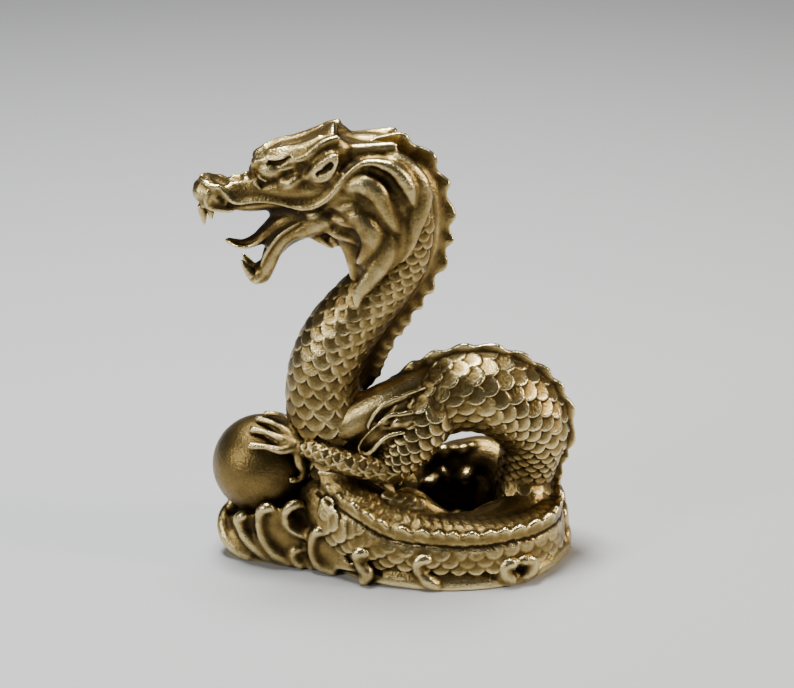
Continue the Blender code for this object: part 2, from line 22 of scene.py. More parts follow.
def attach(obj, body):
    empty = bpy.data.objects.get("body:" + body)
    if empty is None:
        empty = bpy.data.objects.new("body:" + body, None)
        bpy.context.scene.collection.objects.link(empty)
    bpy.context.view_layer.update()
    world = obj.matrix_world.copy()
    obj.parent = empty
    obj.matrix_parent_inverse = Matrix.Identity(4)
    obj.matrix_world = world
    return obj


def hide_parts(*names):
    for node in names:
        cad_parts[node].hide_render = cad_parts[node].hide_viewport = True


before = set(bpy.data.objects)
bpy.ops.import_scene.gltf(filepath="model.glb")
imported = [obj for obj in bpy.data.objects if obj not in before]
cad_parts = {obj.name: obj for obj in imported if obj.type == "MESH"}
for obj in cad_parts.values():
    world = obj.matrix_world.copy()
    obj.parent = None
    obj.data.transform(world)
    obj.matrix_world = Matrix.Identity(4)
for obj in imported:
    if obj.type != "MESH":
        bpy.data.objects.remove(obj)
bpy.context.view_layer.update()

# %% [markdown]
# ## Working in millimetres
#
# The forms are given in millimetres, because that is how one would measure the real piece. Each knot of a form
# is x, y, z and a radius. The dragon looks along -X, and its head and neck stand in one upright plane, so a
# detail of the head is modelled on the near side and repeated at the mirrored place on the far side.

# %% Small helpers
MM = 0.001
HEAD_Y = -0.5
random.seed(7)
fine = 1.0


def deselect():
    if bpy.context.mode != "OBJECT":
        bpy.ops.object.mode_set(mode="OBJECT")
    bpy.ops.object.select_all(action="DESELECT")


def both_sides(knots):
    far = [(knot[0], 2 * HEAD_Y - knot[1], *knot[2:]) for knot in knots]
    return (knots, far)


def select_only(objects):
    deselect()
    for obj in objects:
        obj.select_set(True)
    bpy.context.view_layer.objects.active = objects[0]


print("working plane of the head: y =", HEAD_Y, "mm")

# %% [markdown]
# ## A rod of wax
#
# Nearly every form of the dragon is a rod of wax that swells and tapers: the body, the horns, the locks of the
# mane, the fingers and the foam curls. In Blender that is a Bezier curve with a round bevel, whose points each
# have their own radius. A point's handles stay automatic, so the rod bends smoothly, as wax does. It is then
# converted to a mesh, so that all the rods can be fused later. `press` flattens or widens a rod along Y.


# %% Rods and lumps
def rounded(knots):
    """The same knots with two more at each end, which close the rod with a round tip."""
    caps = []
    for tip, inner in ((knots[0], knots[1]), (knots[-1], knots[-2])):
        place, radius = Vector(tip[:3]), tip[3]
        away = (place - Vector(inner[:3])).normalized() * radius
        caps.append([(*(place + away * 0.55), radius * 0.8), (*(place + away * 0.9), radius * 0.4)])
    return [caps[0][1], caps[0][0], *knots, caps[1][0], caps[1][1]]


def rod(name, knots, press=1.0, sides=4, steps=8):
    """A tapering rod through knots of x, y, z and radius in millimetres."""
    knots = rounded(knots)
    deselect()
    bpy.ops.curve.primitive_bezier_curve_add(location=(0, 0, 0))
    curve = bpy.context.object
    curve.name = name
    curve.data.bevel_depth = 1.0
    curve.data.bevel_resolution = sides
    curve.data.resolution_u = steps
    curve.data.use_fill_caps = True
    spline = curve.data.splines[0]
    spline.bezier_points.add(len(knots) - 2)
    for point, (x, y, z, radius) in zip(spline.bezier_points, knots):
        point.co = (x * MM, y * MM / press, z * MM)
        point.radius = radius * MM
        point.handle_left_type = point.handle_right_type = "AUTO"
    bpy.ops.object.convert(target="MESH")
    rod_object = bpy.context.object
    rod_object.scale = (1, press, 1)
    bpy.ops.object.transform_apply(location=False, rotation=False, scale=True)
    return rod_object


def lump(name, centre, radii, turn=0.0):
    """An egg-shaped lump, pressed from a ball, with its centre and its three radii in millimetres."""
    deselect()
    bpy.ops.mesh.primitive_uv_sphere_add(segments=32, ring_count=16, radius=1, location=[c * MM for c in centre])
    egg = bpy.context.object
    egg.name = name
    egg.scale = [r * MM for r in radii]
    egg.rotation_euler = (0, math.radians(turn), 0)
    bpy.ops.object.transform_apply(location=True, rotation=True, scale=True)
    return egg


def paired(name, knots, **how):
    """The same rod on the near and on the far side of the head."""
    return [rod(name, side, **how) for side in both_sides(knots)]


# %% [markdown]
# ## The body's path
#
# The neck and the body are two rods. Scales and fins have to follow them closely, so the path is also needed as
# many evenly spaced stations, each with its place, its direction towards the tail and its radius. A
# Catmull-Rom curve goes through every knot, which makes it easy to set the knots from measurements.

# %% Walk along a path
NECK = [
    (-6.5, HEAD_Y, 62.2, 3.7), (-2.8, HEAD_Y, 62.9, 4.0), (0.4, HEAD_Y, 60.8, 4.0), (2.0, HEAD_Y, 56.4, 4.0),
    (1.4, HEAD_Y, 50.9, 4.1), (-0.9, HEAD_Y, 46.4, 4.3), (-5.2, HEAD_Y, 41.2, 4.9), (-8.8, HEAD_Y, 36.1, 5.4),
    (-10.9, HEAD_Y, 30.4, 5.7), (-10.9, HEAD_Y, 24.4, 6.1), (-9.6, HEAD_Y, 17.6, 6.2), (-7.5, 0.5, 10.5, 5.8),
]
BODY = [
    (-5.8, -1.3, 18.8, 5.0), (-2.4, -1.8, 21.8, 5.7), (1.2, -2.2, 23.4, 5.5), (4.8, -1.9, 25.6, 5.7),
    (9.2, -1.2, 27.2, 6.1), (13.9, -0.6, 27.0, 6.4), (18.3, 0.2, 24.6, 6.2), (21.2, 1.0, 20.4, 5.5),
    (20.9, 1.6, 15.6, 4.6), (20.0, 1.2, 10.8, 4.3), (20.0, -1.2, 7.0, 4.8), (18.0, -4.4, 5.0, 5.1),
    (13.6, -7.7, 4.5, 5.2), (7.6, -9.4, 4.5, 5.2), (1.6, -9.2, 5.0, 5.2), (-3.6, -8.2, 6.2, 5.1),
    (-8.0, -6.4, 8.4, 5.0), (-10.8, -3.2, 10.4, 4.8), (-11.4, 1.4, 10.6, 4.5), (-9.0, 5.8, 8.6, 4.2),
    (-3.6, 8.8, 6.2, 3.9), (3.4, 10.0, 5.0, 3.5), (10.2, 9.6, 4.6, 2.9), (15.4, 8.0, 5.0, 2.0),
    (19.0, 7.4, 7.4, 0.9),
]
ARCH_ENDS = 9.6  # knots of BODY: the arch runs from 0 to here, and the coil from COIL_STARTS on
COIL_STARTS = 8.7


def at(knots, t):
    """The place at knot number t on a smooth curve through all the knots."""
    padded = [knots[0], *knots, knots[-1]]
    span = min(int(t), len(knots) - 2)
    t -= span
    before, start, end, after = (np.array(knot, float) for knot in padded[span : span + 4])
    turn = (end - before) * t + (2 * before - 5 * start + 4 * end - after) * t**2
    return 0.5 * (2 * start + turn + (3 * start - before - 3 * end + after) * t**3)


def walk(knots, step):
    """Evenly spaced stations along the path: knot number, place, direction towards the tail and radius, in mm."""
    marks = np.linspace(0, len(knots) - 1, 24 * (len(knots) - 1) + 1)
    places = np.array([at(knots, mark) for mark in marks])
    travelled = np.concatenate([[0], np.cumsum(np.linalg.norm(np.diff(places[:, :3], axis=0), axis=1))])
    even_marks = np.arange(0, travelled[-1], step)
    numbers = np.interp(even_marks, travelled, marks)
    even = np.stack([np.interp(even_marks, travelled, places[:, axis]) for axis in range(places.shape[1])], axis=1)
    directions = np.gradient(even[:, :3], axis=0)
    stations = []
    for number, place, direction in zip(numbers, even, directions):
        stations.append((float(number), Vector(place[:3]), Vector(direction).normalized(), float(place[-1])))
    return stations


def tube(name, knots, first=0.0, last=99.0, thinner=0.0):
    """The plain body between two knot numbers, as a rod through close stations."""
    stations = [station for station in walk(knots, 1.2) if first <= station[0] <= last]
    return rod(name, [(*place, radius - thinner) for number, place, direction, radius in stations], sides=10, steps=2)


def strip(name, low, high, thick, bulge=(0, 0, 0)):
    """A sheet of wax between two rows of places, shaped from a flat grid and given its thickness."""
    deselect()
    bpy.ops.mesh.primitive_grid_add(x_subdivisions=len(low) - 1, y_subdivisions=8, size=2, location=(0, 0, 0))
    wax = bpy.context.object
    wax.name = name
    for vertex in wax.data.vertices:
        mark = (vertex.co.x + 1) / 2 * (len(low) - 1)
        number = min(int(mark + 0.001), len(low) - 2)
        up = (vertex.co.y + 1) / 2
        foot = low[number].lerp(low[number + 1], mark - number)
        tip = high[number].lerp(high[number + 1], mark - number)
        vertex.co = (foot.lerp(tip, up) + Vector(bulge) * 4 * up * (1 - up)) * MM
    thickness = wax.modifiers.new("thickness", "SOLIDIFY")
    thickness.thickness = thick * MM
    thickness.offset = 0
    bpy.ops.object.modifier_apply(modifier="thickness")
    return wax


def sheet(name, low, high, thick, bulge=(0, 0, 0)):
    """A sheet between two lines with the same number of knots."""
    marks = np.linspace(0, len(low) - 1, 8 * (len(low) - 1) + 1)
    rows = [[Vector(at(line, mark)[:3]) for mark in marks] for line in (low, high)]
    return strip(name, rows[0], rows[1], thick, bulge)


print("neck is", round(len(walk(NECK, 0.5)) * 0.5), "mm long, body", round(len(walk(BODY, 0.5)) * 0.5), "mm")

# %% [markdown]
# ## One scale
#
# The body is covered with scales that overlap towards the tail like roof tiles. One is modelled once: a disc whose
# root half is pulled back into a tongue, with a skirt that will sink into the body and a nearly flat face, so
# that only its free edge draws a line. It has few faces because it will be repeated many hundreds of times.

# %% Model the scale
SCALE_PITCH = 2.4  # from one scale to its neighbour in the same row
ROW_STEP = 0.49  # of the pitch, from one row to the next

deselect()
bpy.ops.mesh.primitive_circle_add(vertices=20, radius=SCALE_PITCH * 0.515 * MM, fill_type="NGON", location=(0, 0, 0))
scale_tile = bpy.context.object
scale_tile.name = "scale_tile"
bpy.ops.object.mode_set(mode="EDIT")
tile = bmesh.from_edit_mesh(scale_tile.data)
bpy.ops.mesh.select_all(action="DESELECT")
for vertex in tile.verts:
    vertex.select = vertex.co.y < -0.1 * MM
bmesh.update_edit_mesh(scale_tile.data)
bpy.ops.transform.translate(value=(0, -0.9 * MM, 0))
bpy.ops.mesh.select_all(action="SELECT")
bpy.ops.mesh.extrude_region_move(TRANSFORM_OT_translate={"value": (0, 0, 0.6 * MM)})
bpy.ops.mesh.inset(thickness=0.1 * MM)
bpy.ops.transform.translate(value=(0, 0, 0.05 * MM))
bpy.ops.mesh.inset(thickness=0.45 * MM)
bpy.ops.transform.translate(value=(0, 0, 0.03 * MM))
bpy.ops.mesh.select_all(action="SELECT")
bpy.ops.mesh.normals_make_consistent(inside=False)
bpy.ops.object.mode_set(mode="OBJECT")
print("one scale has", len(scale_tile.data.polygons), "faces")

# %% [markdown]
# Rows of scales are then laid along the path, like tiles on a round roof. Each row is turned by half a scale
# against the one before, and the rows stand closer where the body is thinner. A tile leans a little, so that its
# root goes under its neighbour and its free edge stands proud. Small random turns keep the hand-carved look.


# %% Lay the scales
def lay_one(spot, out, free, width, length, lean, rough):
    """One scale at a spot of the surface that faces out, with its free edge towards `free`."""
    free = (free - out * free.dot(out)).normalized()
    turned = Matrix((free.cross(out).normalized(), free, out)).transposed().to_4x4()
    wobble = Matrix.Rotation(math.radians(random.uniform(-rough, rough)), 4, "Z")
    tilt = Matrix.Rotation(math.radians(lean + random.uniform(-0.12, 0.12) * rough), 4, "X")
    fit = Matrix.Diagonal((width * random.uniform(0.96, 1.04), length * random.uniform(0.96, 1.04), 1, 1))
    copy = scale_tile.copy()
    copy.data = scale_tile.data.copy()
    copy.data.transform(Matrix.Translation(spot * MM) @ turned @ wobble @ tilt @ fit)
    bpy.context.collection.objects.link(copy)
    return copy


def lay_scales(knots, first, last, around, skip=None, lean=9.5, sink=0.56, hang=0.0, rough=7):
    """Scales over a path, so many in each row round it. skip(number, out, spot) leaves one out, and hang turns
    the free edges from the tail's direction towards the ground."""
    tiles = []
    row, gone = 0, 0.0
    for number, place, direction, radius in walk(knots, 0.1):
        pitch = 2 * math.pi * radius / around
        gone += 0.1
        if gone < pitch * ROW_STEP:
            continue
        row, gone = row + 1, 0.0
        if not first <= number <= last:
            continue
        side = Vector((0, 1, 0))
        side = (side - direction * side.dot(direction)).normalized()
        up = direction.cross(side).normalized()
        for column in range(around):
            angle = 2 * math.pi * (column + row % 2 / 2 + random.uniform(-0.04, 0.04)) / around
            out = side * math.cos(angle) + up * math.sin(angle)
            spot = place + out * (radius - sink)
            if skip and skip(number, out, spot):
                continue
            free = direction * (1 - hang) + Vector((0, 0, -hang))
            size = pitch / SCALE_PITCH
            tiles.append(lay_one(spot, out, free, size, size, lean, rough))
    return tiles


# %% [markdown]
# ## The fin
#
# The fin along the back is a ribbon with a notched edge: each lobe rises towards the tail and drops in a notch.
# It is shaped as one strip of wax from its foot inside the body to its edge. The lobes differ a little in
# length, and each bends sideways, which gives the ribbon its soft ribs.


# %% Fin
def lobes(places, period):
    """For each place along a line: how far through its lobe it lies, from 0 to 1."""
    phases, start, length, gone = [], 0.0, period, 0.0
    for before, place in zip([places[0], *places], places):
        gone += (place - before).length
        if gone - start > length:
            start, length = gone, period * random.uniform(0.75, 1.3)
        phases.append((gone - start) / length)
    return phases


def fin_out(number, direction, coil_starts):
    """Outwards from the body: in the head's plane on the back, leaning out and up along the coil."""
    over_back = direction.cross(Vector((0, 1, 0)))
    over_coil = Vector((0, 0, 1)).cross(direction) * 0.75 + Vector((0, 0, 1))
    share = min(1.0, max(0.0, (number - coil_starts) / 2.0 + 0.5))
    out = over_back.normalized() * (1 - share) + over_coil.normalized() * share
    return (out - direction * out.dot(direction)).normalized()


def fin(name, knots, first, last, rise, period, thick, coil_starts=99.0, root=1.8):
    """A notched ribbon along the back of a path, which fades at both ends."""
    stations = [station for station in walk(knots, 0.2) if first <= station[0] <= last]
    feet, edge = [], []
    phases = lobes([station[1] for station in stations], period)
    for (number, place, direction, radius), phase in zip(stations, phases):
        out = fin_out(number, direction, coil_starts)
        fade = min(1.0, (number - first) / 0.9 + 0.25, (last - number) / 0.9 + 0.25)
        notch = 0.58 + 0.42 * math.sin(math.pi * phase**1.6)
        sway = out.cross(direction) * 0.22 * math.sin(2 * math.pi * phase)
        feet.append(place + out * (radius - root))
        edge.append(place + out * (radius + rise * fade * notch) + sway)
    return strip(name, feet, edge, thick)


# %% [markdown]
# ## Fusing the wax
#
# A group of forms is joined and voxel remeshed, which gives one closed skin with soft creases where forms meet,
# as in a casting. A light smoothing takes away the voxel steps. The size of the voxels is chosen so that the
# finest scale edge survives and the piece stays under the limit of faces.


# %% Fuse
def change(piece, kind, **settings):
    """Adds one modifier with these settings and applies it."""
    made = piece.modifiers.new(kind.lower(), kind)
    for name, value in settings.items():
        setattr(made, name, value)
    bpy.ops.object.modifier_apply(modifier=made.name)


def remesh(piece, grain):
    change(piece, "REMESH", mode="VOXEL", voxel_size=grain * MM * fine, use_smooth_shade=True)


def saw_flat(piece):
    """Cuts off what lies below the floor."""
    bpy.ops.object.mode_set(mode="EDIT")
    bpy.ops.mesh.select_all(action="SELECT")
    cut = {"plane_co": (0, 0, 0.05 * MM), "plane_no": (0, 0, 1), "threshold": 0.001 * MM}
    bpy.ops.mesh.bisect(clear_inner=True, use_fill=True, **cut)
    bpy.ops.object.mode_set(mode="OBJECT")


def fuse(name, forms, grain, smooth=2, close=0.0, flat=False):
    """Joins the forms and remeshes them at a grain in millimetres. With `close`, creases narrower than twice
    that are first filled with soft fillets, by swelling the skin and shrinking it again. With `flat`, what
    reaches below the floor is sawn off, and the cut gets the same skin as the rest."""
    select_only(forms)
    if len(forms) > 1:
        bpy.ops.object.join()
    piece = bpy.context.object
    piece.name = piece.data.name = name
    remesh(piece, grain)
    if close:
        change(piece, "DISPLACE", strength=close * MM, mid_level=0)
        remesh(piece, grain)
        change(piece, "SMOOTH", factor=0.5, iterations=3)
        change(piece, "DISPLACE", strength=-close * MM, mid_level=0)
        remesh(piece, grain)
    if flat:
        saw_flat(piece)
        remesh(piece, grain)
    change(piece, "SMOOTH", factor=0.5, iterations=smooth)
    triangles = 2 * len(piece.data.polygons)
    if triangles > 176000:
        change(piece, "DECIMATE", ratio=176000 / triangles)
        bpy.ops.object.shade_smooth()
    print(name, "has", sum(len(face.vertices) - 2 for face in piece.data.polygons), "triangles")
    return piece


# %% [markdown]
# Dark slits are pressed into the finished skin, as with a graver: the line is laid on the nearest surface and
# the skin beside it is pushed inwards.


# %% Engrave
def engrave(piece, knots, width, depth):
    """Presses a groove of this width and depth in millimetres into the skin along a line of knots."""
    mesh = piece.data
    co, normal = np.empty(len(mesh.vertices) * 3), np.empty(len(mesh.vertices) * 3)
    mesh.vertices.foreach_get("co", co)
    mesh.vertices.foreach_get("normal", normal)
    co, normal = co.reshape(-1, 3) / MM, normal.reshape(-1, 3)
    line = np.array([tuple(station[1]) for station in walk([(*knot[:3], 1.0) for knot in knots], 0.15)])
    near = np.flatnonzero(np.all((co > line.min(0) - 3) & (co < line.max(0) + 3), axis=1))
    skin = co[near]
    snapped = np.array([skin[np.argmin(((skin - point) ** 2).sum(1))] for point in line])
    for turn in range(6):
        snapped[1:-1] = (snapped[:-2] + 2 * snapped[1:-1] + snapped[2:]) / 4
    distance = np.sqrt(((skin[:, None, :] - snapped[None, :, :]) ** 2).sum(2).min(1))
    co[near] -= normal[near] * (depth * np.exp(-((distance / width) ** 2)))[:, None]
    mesh.vertices.foreach_set("co", (co * MM).ravel())
    mesh.update()


# %% [markdown]
# ## The neck
#
# The scaled neck rises in an S from behind the pearl. Below the mane it carries twelve columns of scales, and
# the fin stands along its back. The bare form, the spine and the fin are fused first, with a soft fillet where
# the fin meets the back, and the scales are laid on it afterwards, so that their edges stay crisp.

# %% Neck
def bare_neck(number, out, spot):
    """The fin's strip stays bare, and so does what the mane covers."""
    return (out.x > 0.80 and abs(out.y) < 0.6 and number < 8.2) or spot.z > 59.5


neck_forms = [tube("neck_core", NECK, 2.0, thinner=0.25), fin("nape_fin", NECK, 0.7, 8.6, 2.9, 2.9, 0.9)]
spine = [(*(place + fin_out(number, direction, 99.0) * (radius - 0.9)), 1.7) for number, place, direction, radius in walk(NECK, 2.0) if 2.0 < number < 8.6]
neck_forms.append(rod("spine", spine, sides=6))
neck_core = fuse("neck_core", neck_forms, 0.2, close=0.9)
neck = fuse("neck", [neck_core, *lay_scales(NECK, 3.0, 10.8, 12, bare_neck, hang=0.1)], 0.13, smooth=1)

# %% [markdown]
# ## The arched back
#
# Behind the neck the back rises out of the coil, arches over and dives down again. Its front end is also the
# shoulder of the left arm. There the scales give way to two flames, thin raised rims round dark pits, on a web
# of bare brass that fills the corner between the neck and the back. The flames are fused after the fillets, and
# their pits are engraved last, because both are too thin to survive the filling.

# %% Arch and shoulder
ARM = [
    (5.6, -3.4, 26.2, 4.6), (3.5, -5.0, 22.9, 4.1), (1.3, -6.5, 19.6, 3.3), (-0.8, -7.7, 17.2, 2.3),
    (-4.9, -8.5, 17.8, 1.9), (-9.6, -8.2, 19.1, 1.7), (-12.6, -7.2, 19.9, 1.5), (-15.0, -5.9, 20.0, 1.2),
]
FLAME_A = [
    (4.1, -6.3, 29.9, 0.2), (2.7, -6.9, 29.7, 0.3), (0.5, -7.3, 29.0, 0.32), (-1.4, -7.5, 28.3, 0.32),
    (-2.9, -7.6, 26.9, 0.32), (-3.8, -7.6, 25.5, 0.34), (-4.3, -7.6, 24.2, 0.34), (-4.0, -7.8, 23.5, 0.25),
]
FLAME_B = [
    (3.2, -7.6, 26.6, 0.3), (2.0, -7.9, 26.6, 0.42), (0.5, -8.1, 26.4, 0.4), (-0.9, -8.2, 26.3, 0.36),
    (-2.1, -8.3, 25.5, 0.34), (-3.3, -8.3, 24.2, 0.34), (-4.6, -8.2, 22.8, 0.36), (-5.5, -8.1, 21.4, 0.38),
    (-5.6, -8.2, 20.5, 0.42), (-4.9, -8.5, 19.9, 0.42), (-3.8, -8.8, 20.6, 0.4), (-2.9, -9.0, 21.8, 0.38),
    (-1.8, -9.1, 22.9, 0.36), (-0.8, -9.1, 23.4, 0.36), (0.9, -9.0, 23.7, 0.28),
]
WEB = [(-9.0, -3.0, 21.6, 3.6), (-5.4, -3.6, 24.0, 3.5), (-1.4, -3.8, 26.4, 3.4), (2.8, -3.2, 28.6, 2.9), (6.4, -2.2, 30.4, 2.2)]
PADS = {  # centre, radii and turn of the bare swellings inside the flames
    "upper_pad": ((-0.6, -5.6, 26.9), (3.8, 1.7, 1.7), -28),
    "lower_pad": ((0.8, -7.1, 25.0), (3.4, 1.8, 1.3), -18),
    "knuckle": ((-0.1, -8.4, 25.1), (0.7, 0.7, 0.8), 0),
    "inner_knuckle": ((1.4, -8.0, 24.9), (0.9, 0.9, 0.9), 0),
}


def bare_arch(number, out, spot):
    """The shoulder under the flames stays bare."""
    return spot.x < 1.6 and spot.z > 20.5


def bare_arm(number, out, spot):
    """The elbow's outer side is scaled, but not the flames above it."""
    return out.y > 0.4 or (spot.x < 0.4 and spot.z > 21.6)


arch_forms = [tube("arch_core", BODY, 0.0, ARCH_ENDS + 0.8, thinner=0.25), rod("shoulder", ARM[:4], sides=8)]
arch_forms += [fin("back_fin", BODY, 2.0, ARCH_ENDS + 0.6, 1.7, 2.6, 0.9, COIL_STARTS + 1.3)]
arch_forms += [rod("web", WEB, sides=8)]
arch_forms += [lump(name, *egg) for name, egg in PADS.items()]
arch_core = fuse("arch_core", arch_forms, 0.18, close=0.7)
arch_scales = lay_scales(BODY, 1.0, ARCH_ENDS, 13, bare_arch, hang=0.42)
arch_scales += lay_scales(ARM[:4], 0.3, 3.0, 9, bare_arm, hang=0.2)
flames = [rod("flame", FLAME_A), rod("flame", FLAME_B)]
arch = fuse("arched_back", [arch_core, *flames, *arch_scales], 0.135, smooth=1)
engrave(arch, [(-3.0, -7.3, 24.9), (-2.0, -7.5, 26.4), (-0.4, -7.4, 27.6), (1.6, -7.0, 28.4)], 0.45, 0.35)
engrave(arch, [(-4.8, -8.1, 21.0), (-4.2, -8.1, 22.0), (-3.0, -8.3, 23.3), (-1.6, -8.4, 24.6)], 0.55, 0.6)

# %% [markdown]
# ## The coil
#
# The tail lies round the base like a rope. Its outer wall carries a few rows of scales that hang down, and above
# them the fin stands like a low notched collar. The inner slope behind the collar is broad and nearly smooth.
# Wall, slope and collar are sheets between measured lines, because the real section is not a round one.

# %% Wall and collar of the coil
COLLAR = [  # the notched edge of the collar
    (-11.9, -7.0, 14.5), (-9.8, -9.0, 13.7), (-6.1, -12.0, 12.5), (-1.1, -13.2, 10.0), (5.0, -13.9, 9.2),
    (11.1, -13.9, 8.9), (15.7, -13.4, 9.2), (20.4, -11.3, 9.3), (24.2, -7.8, 9.5), (25.8, -3.0, 9.4), (25.4, 1.2, 9.0),
]
SLOPE_TOP = [  # where the slope behind the collar ends, knot by knot
    (-12.0, -6.0, 15.7), (-9.6, -6.8, 15.7), (-6.0, -7.3, 15.2), (-1.7, -7.8, 13.2), (3.5, -8.0, 11.0),
    (9.0, -8.3, 9.6), (13.5, -7.5, 9.0), (17.5, -5.8, 8.8), (20.0, -3.5, 9.0), (21.5, -1.0, 9.4), (21.5, 1.5, 9.2),
]


def shifted(line, share, drop):
    """The collar's line moved in towards the middle of the coil and down."""
    return [(x * share, y * share, z - drop) for x, y, z in line]


def collar_edge():
    stations = walk(COLLAR, 0.2)
    phases = lobes([station[1] for station in stations], 2.7)
    feet, edge = [], []
    for (number, place, direction, ignored), phase in zip(stations, phases):
        away = direction.cross(Vector((0, 0, 1))).normalized()
        feet.append(place + Vector((0, 0, -1.9)) - away * 0.35)
        rise = 0.7 * math.sin(math.pi * min(1.0, phase**1.8)) - 0.2
        edge.append(place + Vector((0, 0, rise)) + away * (0.35 * phase - 0.4))
    return strip("collar", feet, edge, 0.85)


def touch(core, start, way):
    """Where a line from start meets the wax, and which way the wax faces there."""
    hit, place, normal, index = core.ray_cast(start * MM, way)
    return (place / MM, normal) if hit else (None, None)


def hang_scales(core, line, pitch, levels):
    """Scales that hang down the coil's wall, in staggered rows this far below the collar's edge."""
    tiles = []
    for column, (number, place, direction, ignored) in enumerate(walk(line, pitch / 2)):
        away = direction.cross(Vector((0, 0, 1))).normalized()
        for level in levels if number > 0.9 else ():
            drop = level + (column % 2) * (levels[1] - levels[0]) / 2
            spot, out = touch(core, place + away * 4 - Vector((0, 0, drop)), -away)
            if spot and spot.z > 3.4 and out.dot(away) > 0.78:
                out = (out + away).normalized()
                down = Vector((0, 0, -1)) + direction * 0.1
                tiles.append(lay_one(spot - out * 0.5, out, down, pitch / SCALE_PITCH, pitch / SCALE_PITCH, 9, 8))
    return tiles


wall = sheet("wall", shifted(COLLAR, 1.0, 6.6), shifted(COLLAR, 0.98, 1.0), 1.0)
slope = sheet("slope", shifted(COLLAR, 0.97, 0.75), shifted(SLOPE_TOP, 1.0, 0.5), 1.2, (0, 0, 0.35))
filling = rod("filling", [(x * 0.9, y * 0.8, z - 4.0, 3.0) for x, y, z in COLLAR], sides=8)
print("wall, slope and filling are laid along", len(COLLAR), "measured knots")

# %% [markdown]
# A leaf-shaped tuft of the tail lies on the slope, with two raised ribs. Three rows of small, shallow scales run
# along the slope, and larger ones hang down the wall. Each is placed where a ray meets the wax, so that none
# floats or drowns. A groove is engraved last under the collar, where the real one has a dark line.

# %% Tuft and coil
LEAF = (
    [(-1.6, -8.4, 13.4), (0.6, -8.2, 13.2), (2.6, -8.1, 13.0), (4.3, -8.0, 12.1), (5.6, -8.0, 11.0), (6.9, -8.1, 10.0), (8.5, -8.4, 8.9)],
    [(-1.0, -9.8, 12.0), (0.8, -10.0, 11.6), (2.7, -9.9, 11.2), (4.4, -9.6, 10.7), (5.9, -9.3, 10.2), (7.2, -8.9, 9.6), (8.6, -8.5, 8.8)],
)
LEAF_RIDGES = [
    [(0.2, -8.2, 13.2, 0.22), (1.2, -8.0, 13.5, 0.28), (3.1, -8.0, 13.1, 0.3), (4.3, -8.0, 12.3, 0.3), (5.4, -8.0, 11.3, 0.28), (6.6, -8.1, 10.3, 0.26), (8.3, -8.3, 9.0, 0.2)],
    [(0.5, -9.3, 12.5, 0.22), (2.8, -9.2, 12.2, 0.26), (5.1, -9.0, 11.2, 0.26), (6.9, -8.6, 10.1, 0.24), (8.5, -8.4, 8.9, 0.2)],
    [(-12.0, -6.2, 15.5, 0.4), (-9.6, -6.9, 15.5, 0.5), (-6.9, -7.3, 15.0, 0.5), (-4.2, -7.7, 14.2, 0.4), (-1.9, -7.9, 13.2, 0.25)],
]
coil_forms = [tube("coil_core", BODY, COIL_STARTS), wall, slope, filling, collar_edge()]
coil_forms += [sheet("leaf", *LEAF, 1.1, (0, -0.2, 0.35))]
coil_forms += [rod("leaf_ridge", [(x, y, z + 0.3, radius * 1.25) for x, y, z, radius in ridge]) for ridge in LEAF_RIDGES]
coil_core = fuse("coil_core", coil_forms, 0.18, close=0.35)


coil_scales = hang_scales(coil_core, COLLAR, 2.7, (3.0, 5.5, 8.0))
for row in range(3):
    share = 0.30 + 0.2 * row
    line = [tuple(Vector(low).lerp(Vector(high), share)) for low, high in zip(COLLAR, SLOPE_TOP)]
    for number, place, direction, ignored in walk(line[1:], 1.6):
        start = place + direction * 0.8 * (row % 2) + Vector((0, 0, 3))
        spot, out = touch(coil_core, start, Vector((0, 0, -1)))
        if spot and out.z > 0.5:
            away = direction.cross(Vector((0, 0, 1)))
            coil_scales.append(lay_one(spot - out * 0.6, out, direction - away * 0.3, 0.66, 0.66, 5, 12))
coil = fuse("tail_coil", [coil_core, *coil_scales], 0.155, smooth=1, flat=True)
engrave(coil, shifted(COLLAR, 1.0, 2.15), 0.26, 0.22)

# %% [markdown]
# ## The head
#
# The head is built from the inside out, as in clay: a muzzle and a skull, two jaws with a tongue, then the brow
# plate, the eyes and the nose, and last the thin ridges. Everything but the middle line is modelled once and
# repeated on the far side.

# %% Skull and jaws
head_forms = []
MUZZLE = [
    (-28.6, HEAD_Y, 59.6, 2.1), (-27.0, HEAD_Y, 59.3, 2.15), (-25.0, HEAD_Y, 58.8, 1.95), (-22.6, HEAD_Y, 58.2, 1.8),
    (-19.5, HEAD_Y, 58.7, 2.1), (-14.5, HEAD_Y, 59.6, 2.9), (-8.5, HEAD_Y, 60.6, 4.0),
]
CRANIUM = [
    (-20.0, HEAD_Y, 62.6, 2.2), (-16.6, HEAD_Y, 63.3, 3.1), (-11.0, HEAD_Y, 64.0, 3.8), (-4.0, HEAD_Y, 63.0, 4.0),
]
JAW_FLOOR = [
    (-10.5, HEAD_Y, 54.4, 1.6), (-14.1, HEAD_Y, 53.4, 1.3), (-16.9, HEAD_Y, 51.6, 1.1), (-18.9, HEAD_Y, 49.1, 1.0),
    (-20.1, HEAD_Y, 46.9, 1.2), (-21.2, HEAD_Y, 45.9, 1.2),
]
TONGUE = [
    (-12.0, HEAD_Y, 56.4, 2.0), (-17.0, HEAD_Y, 55.2, 1.6), (-19.6, HEAD_Y, 53.1, 1.15), (-21.6, HEAD_Y, 51.6, 0.85),
    (-23.6, HEAD_Y, 51.1, 0.6), (-25.7, HEAD_Y, 51.7, 0.3),
]
CHEEK_PLANE = [(-20.4, -2.2, 60.4, 1.3), (-16.5, -2.8, 60.6, 1.8), (-12.5, -3.1, 61.0, 2.2), (-8.0, -3.3, 61.6, 2.4)]
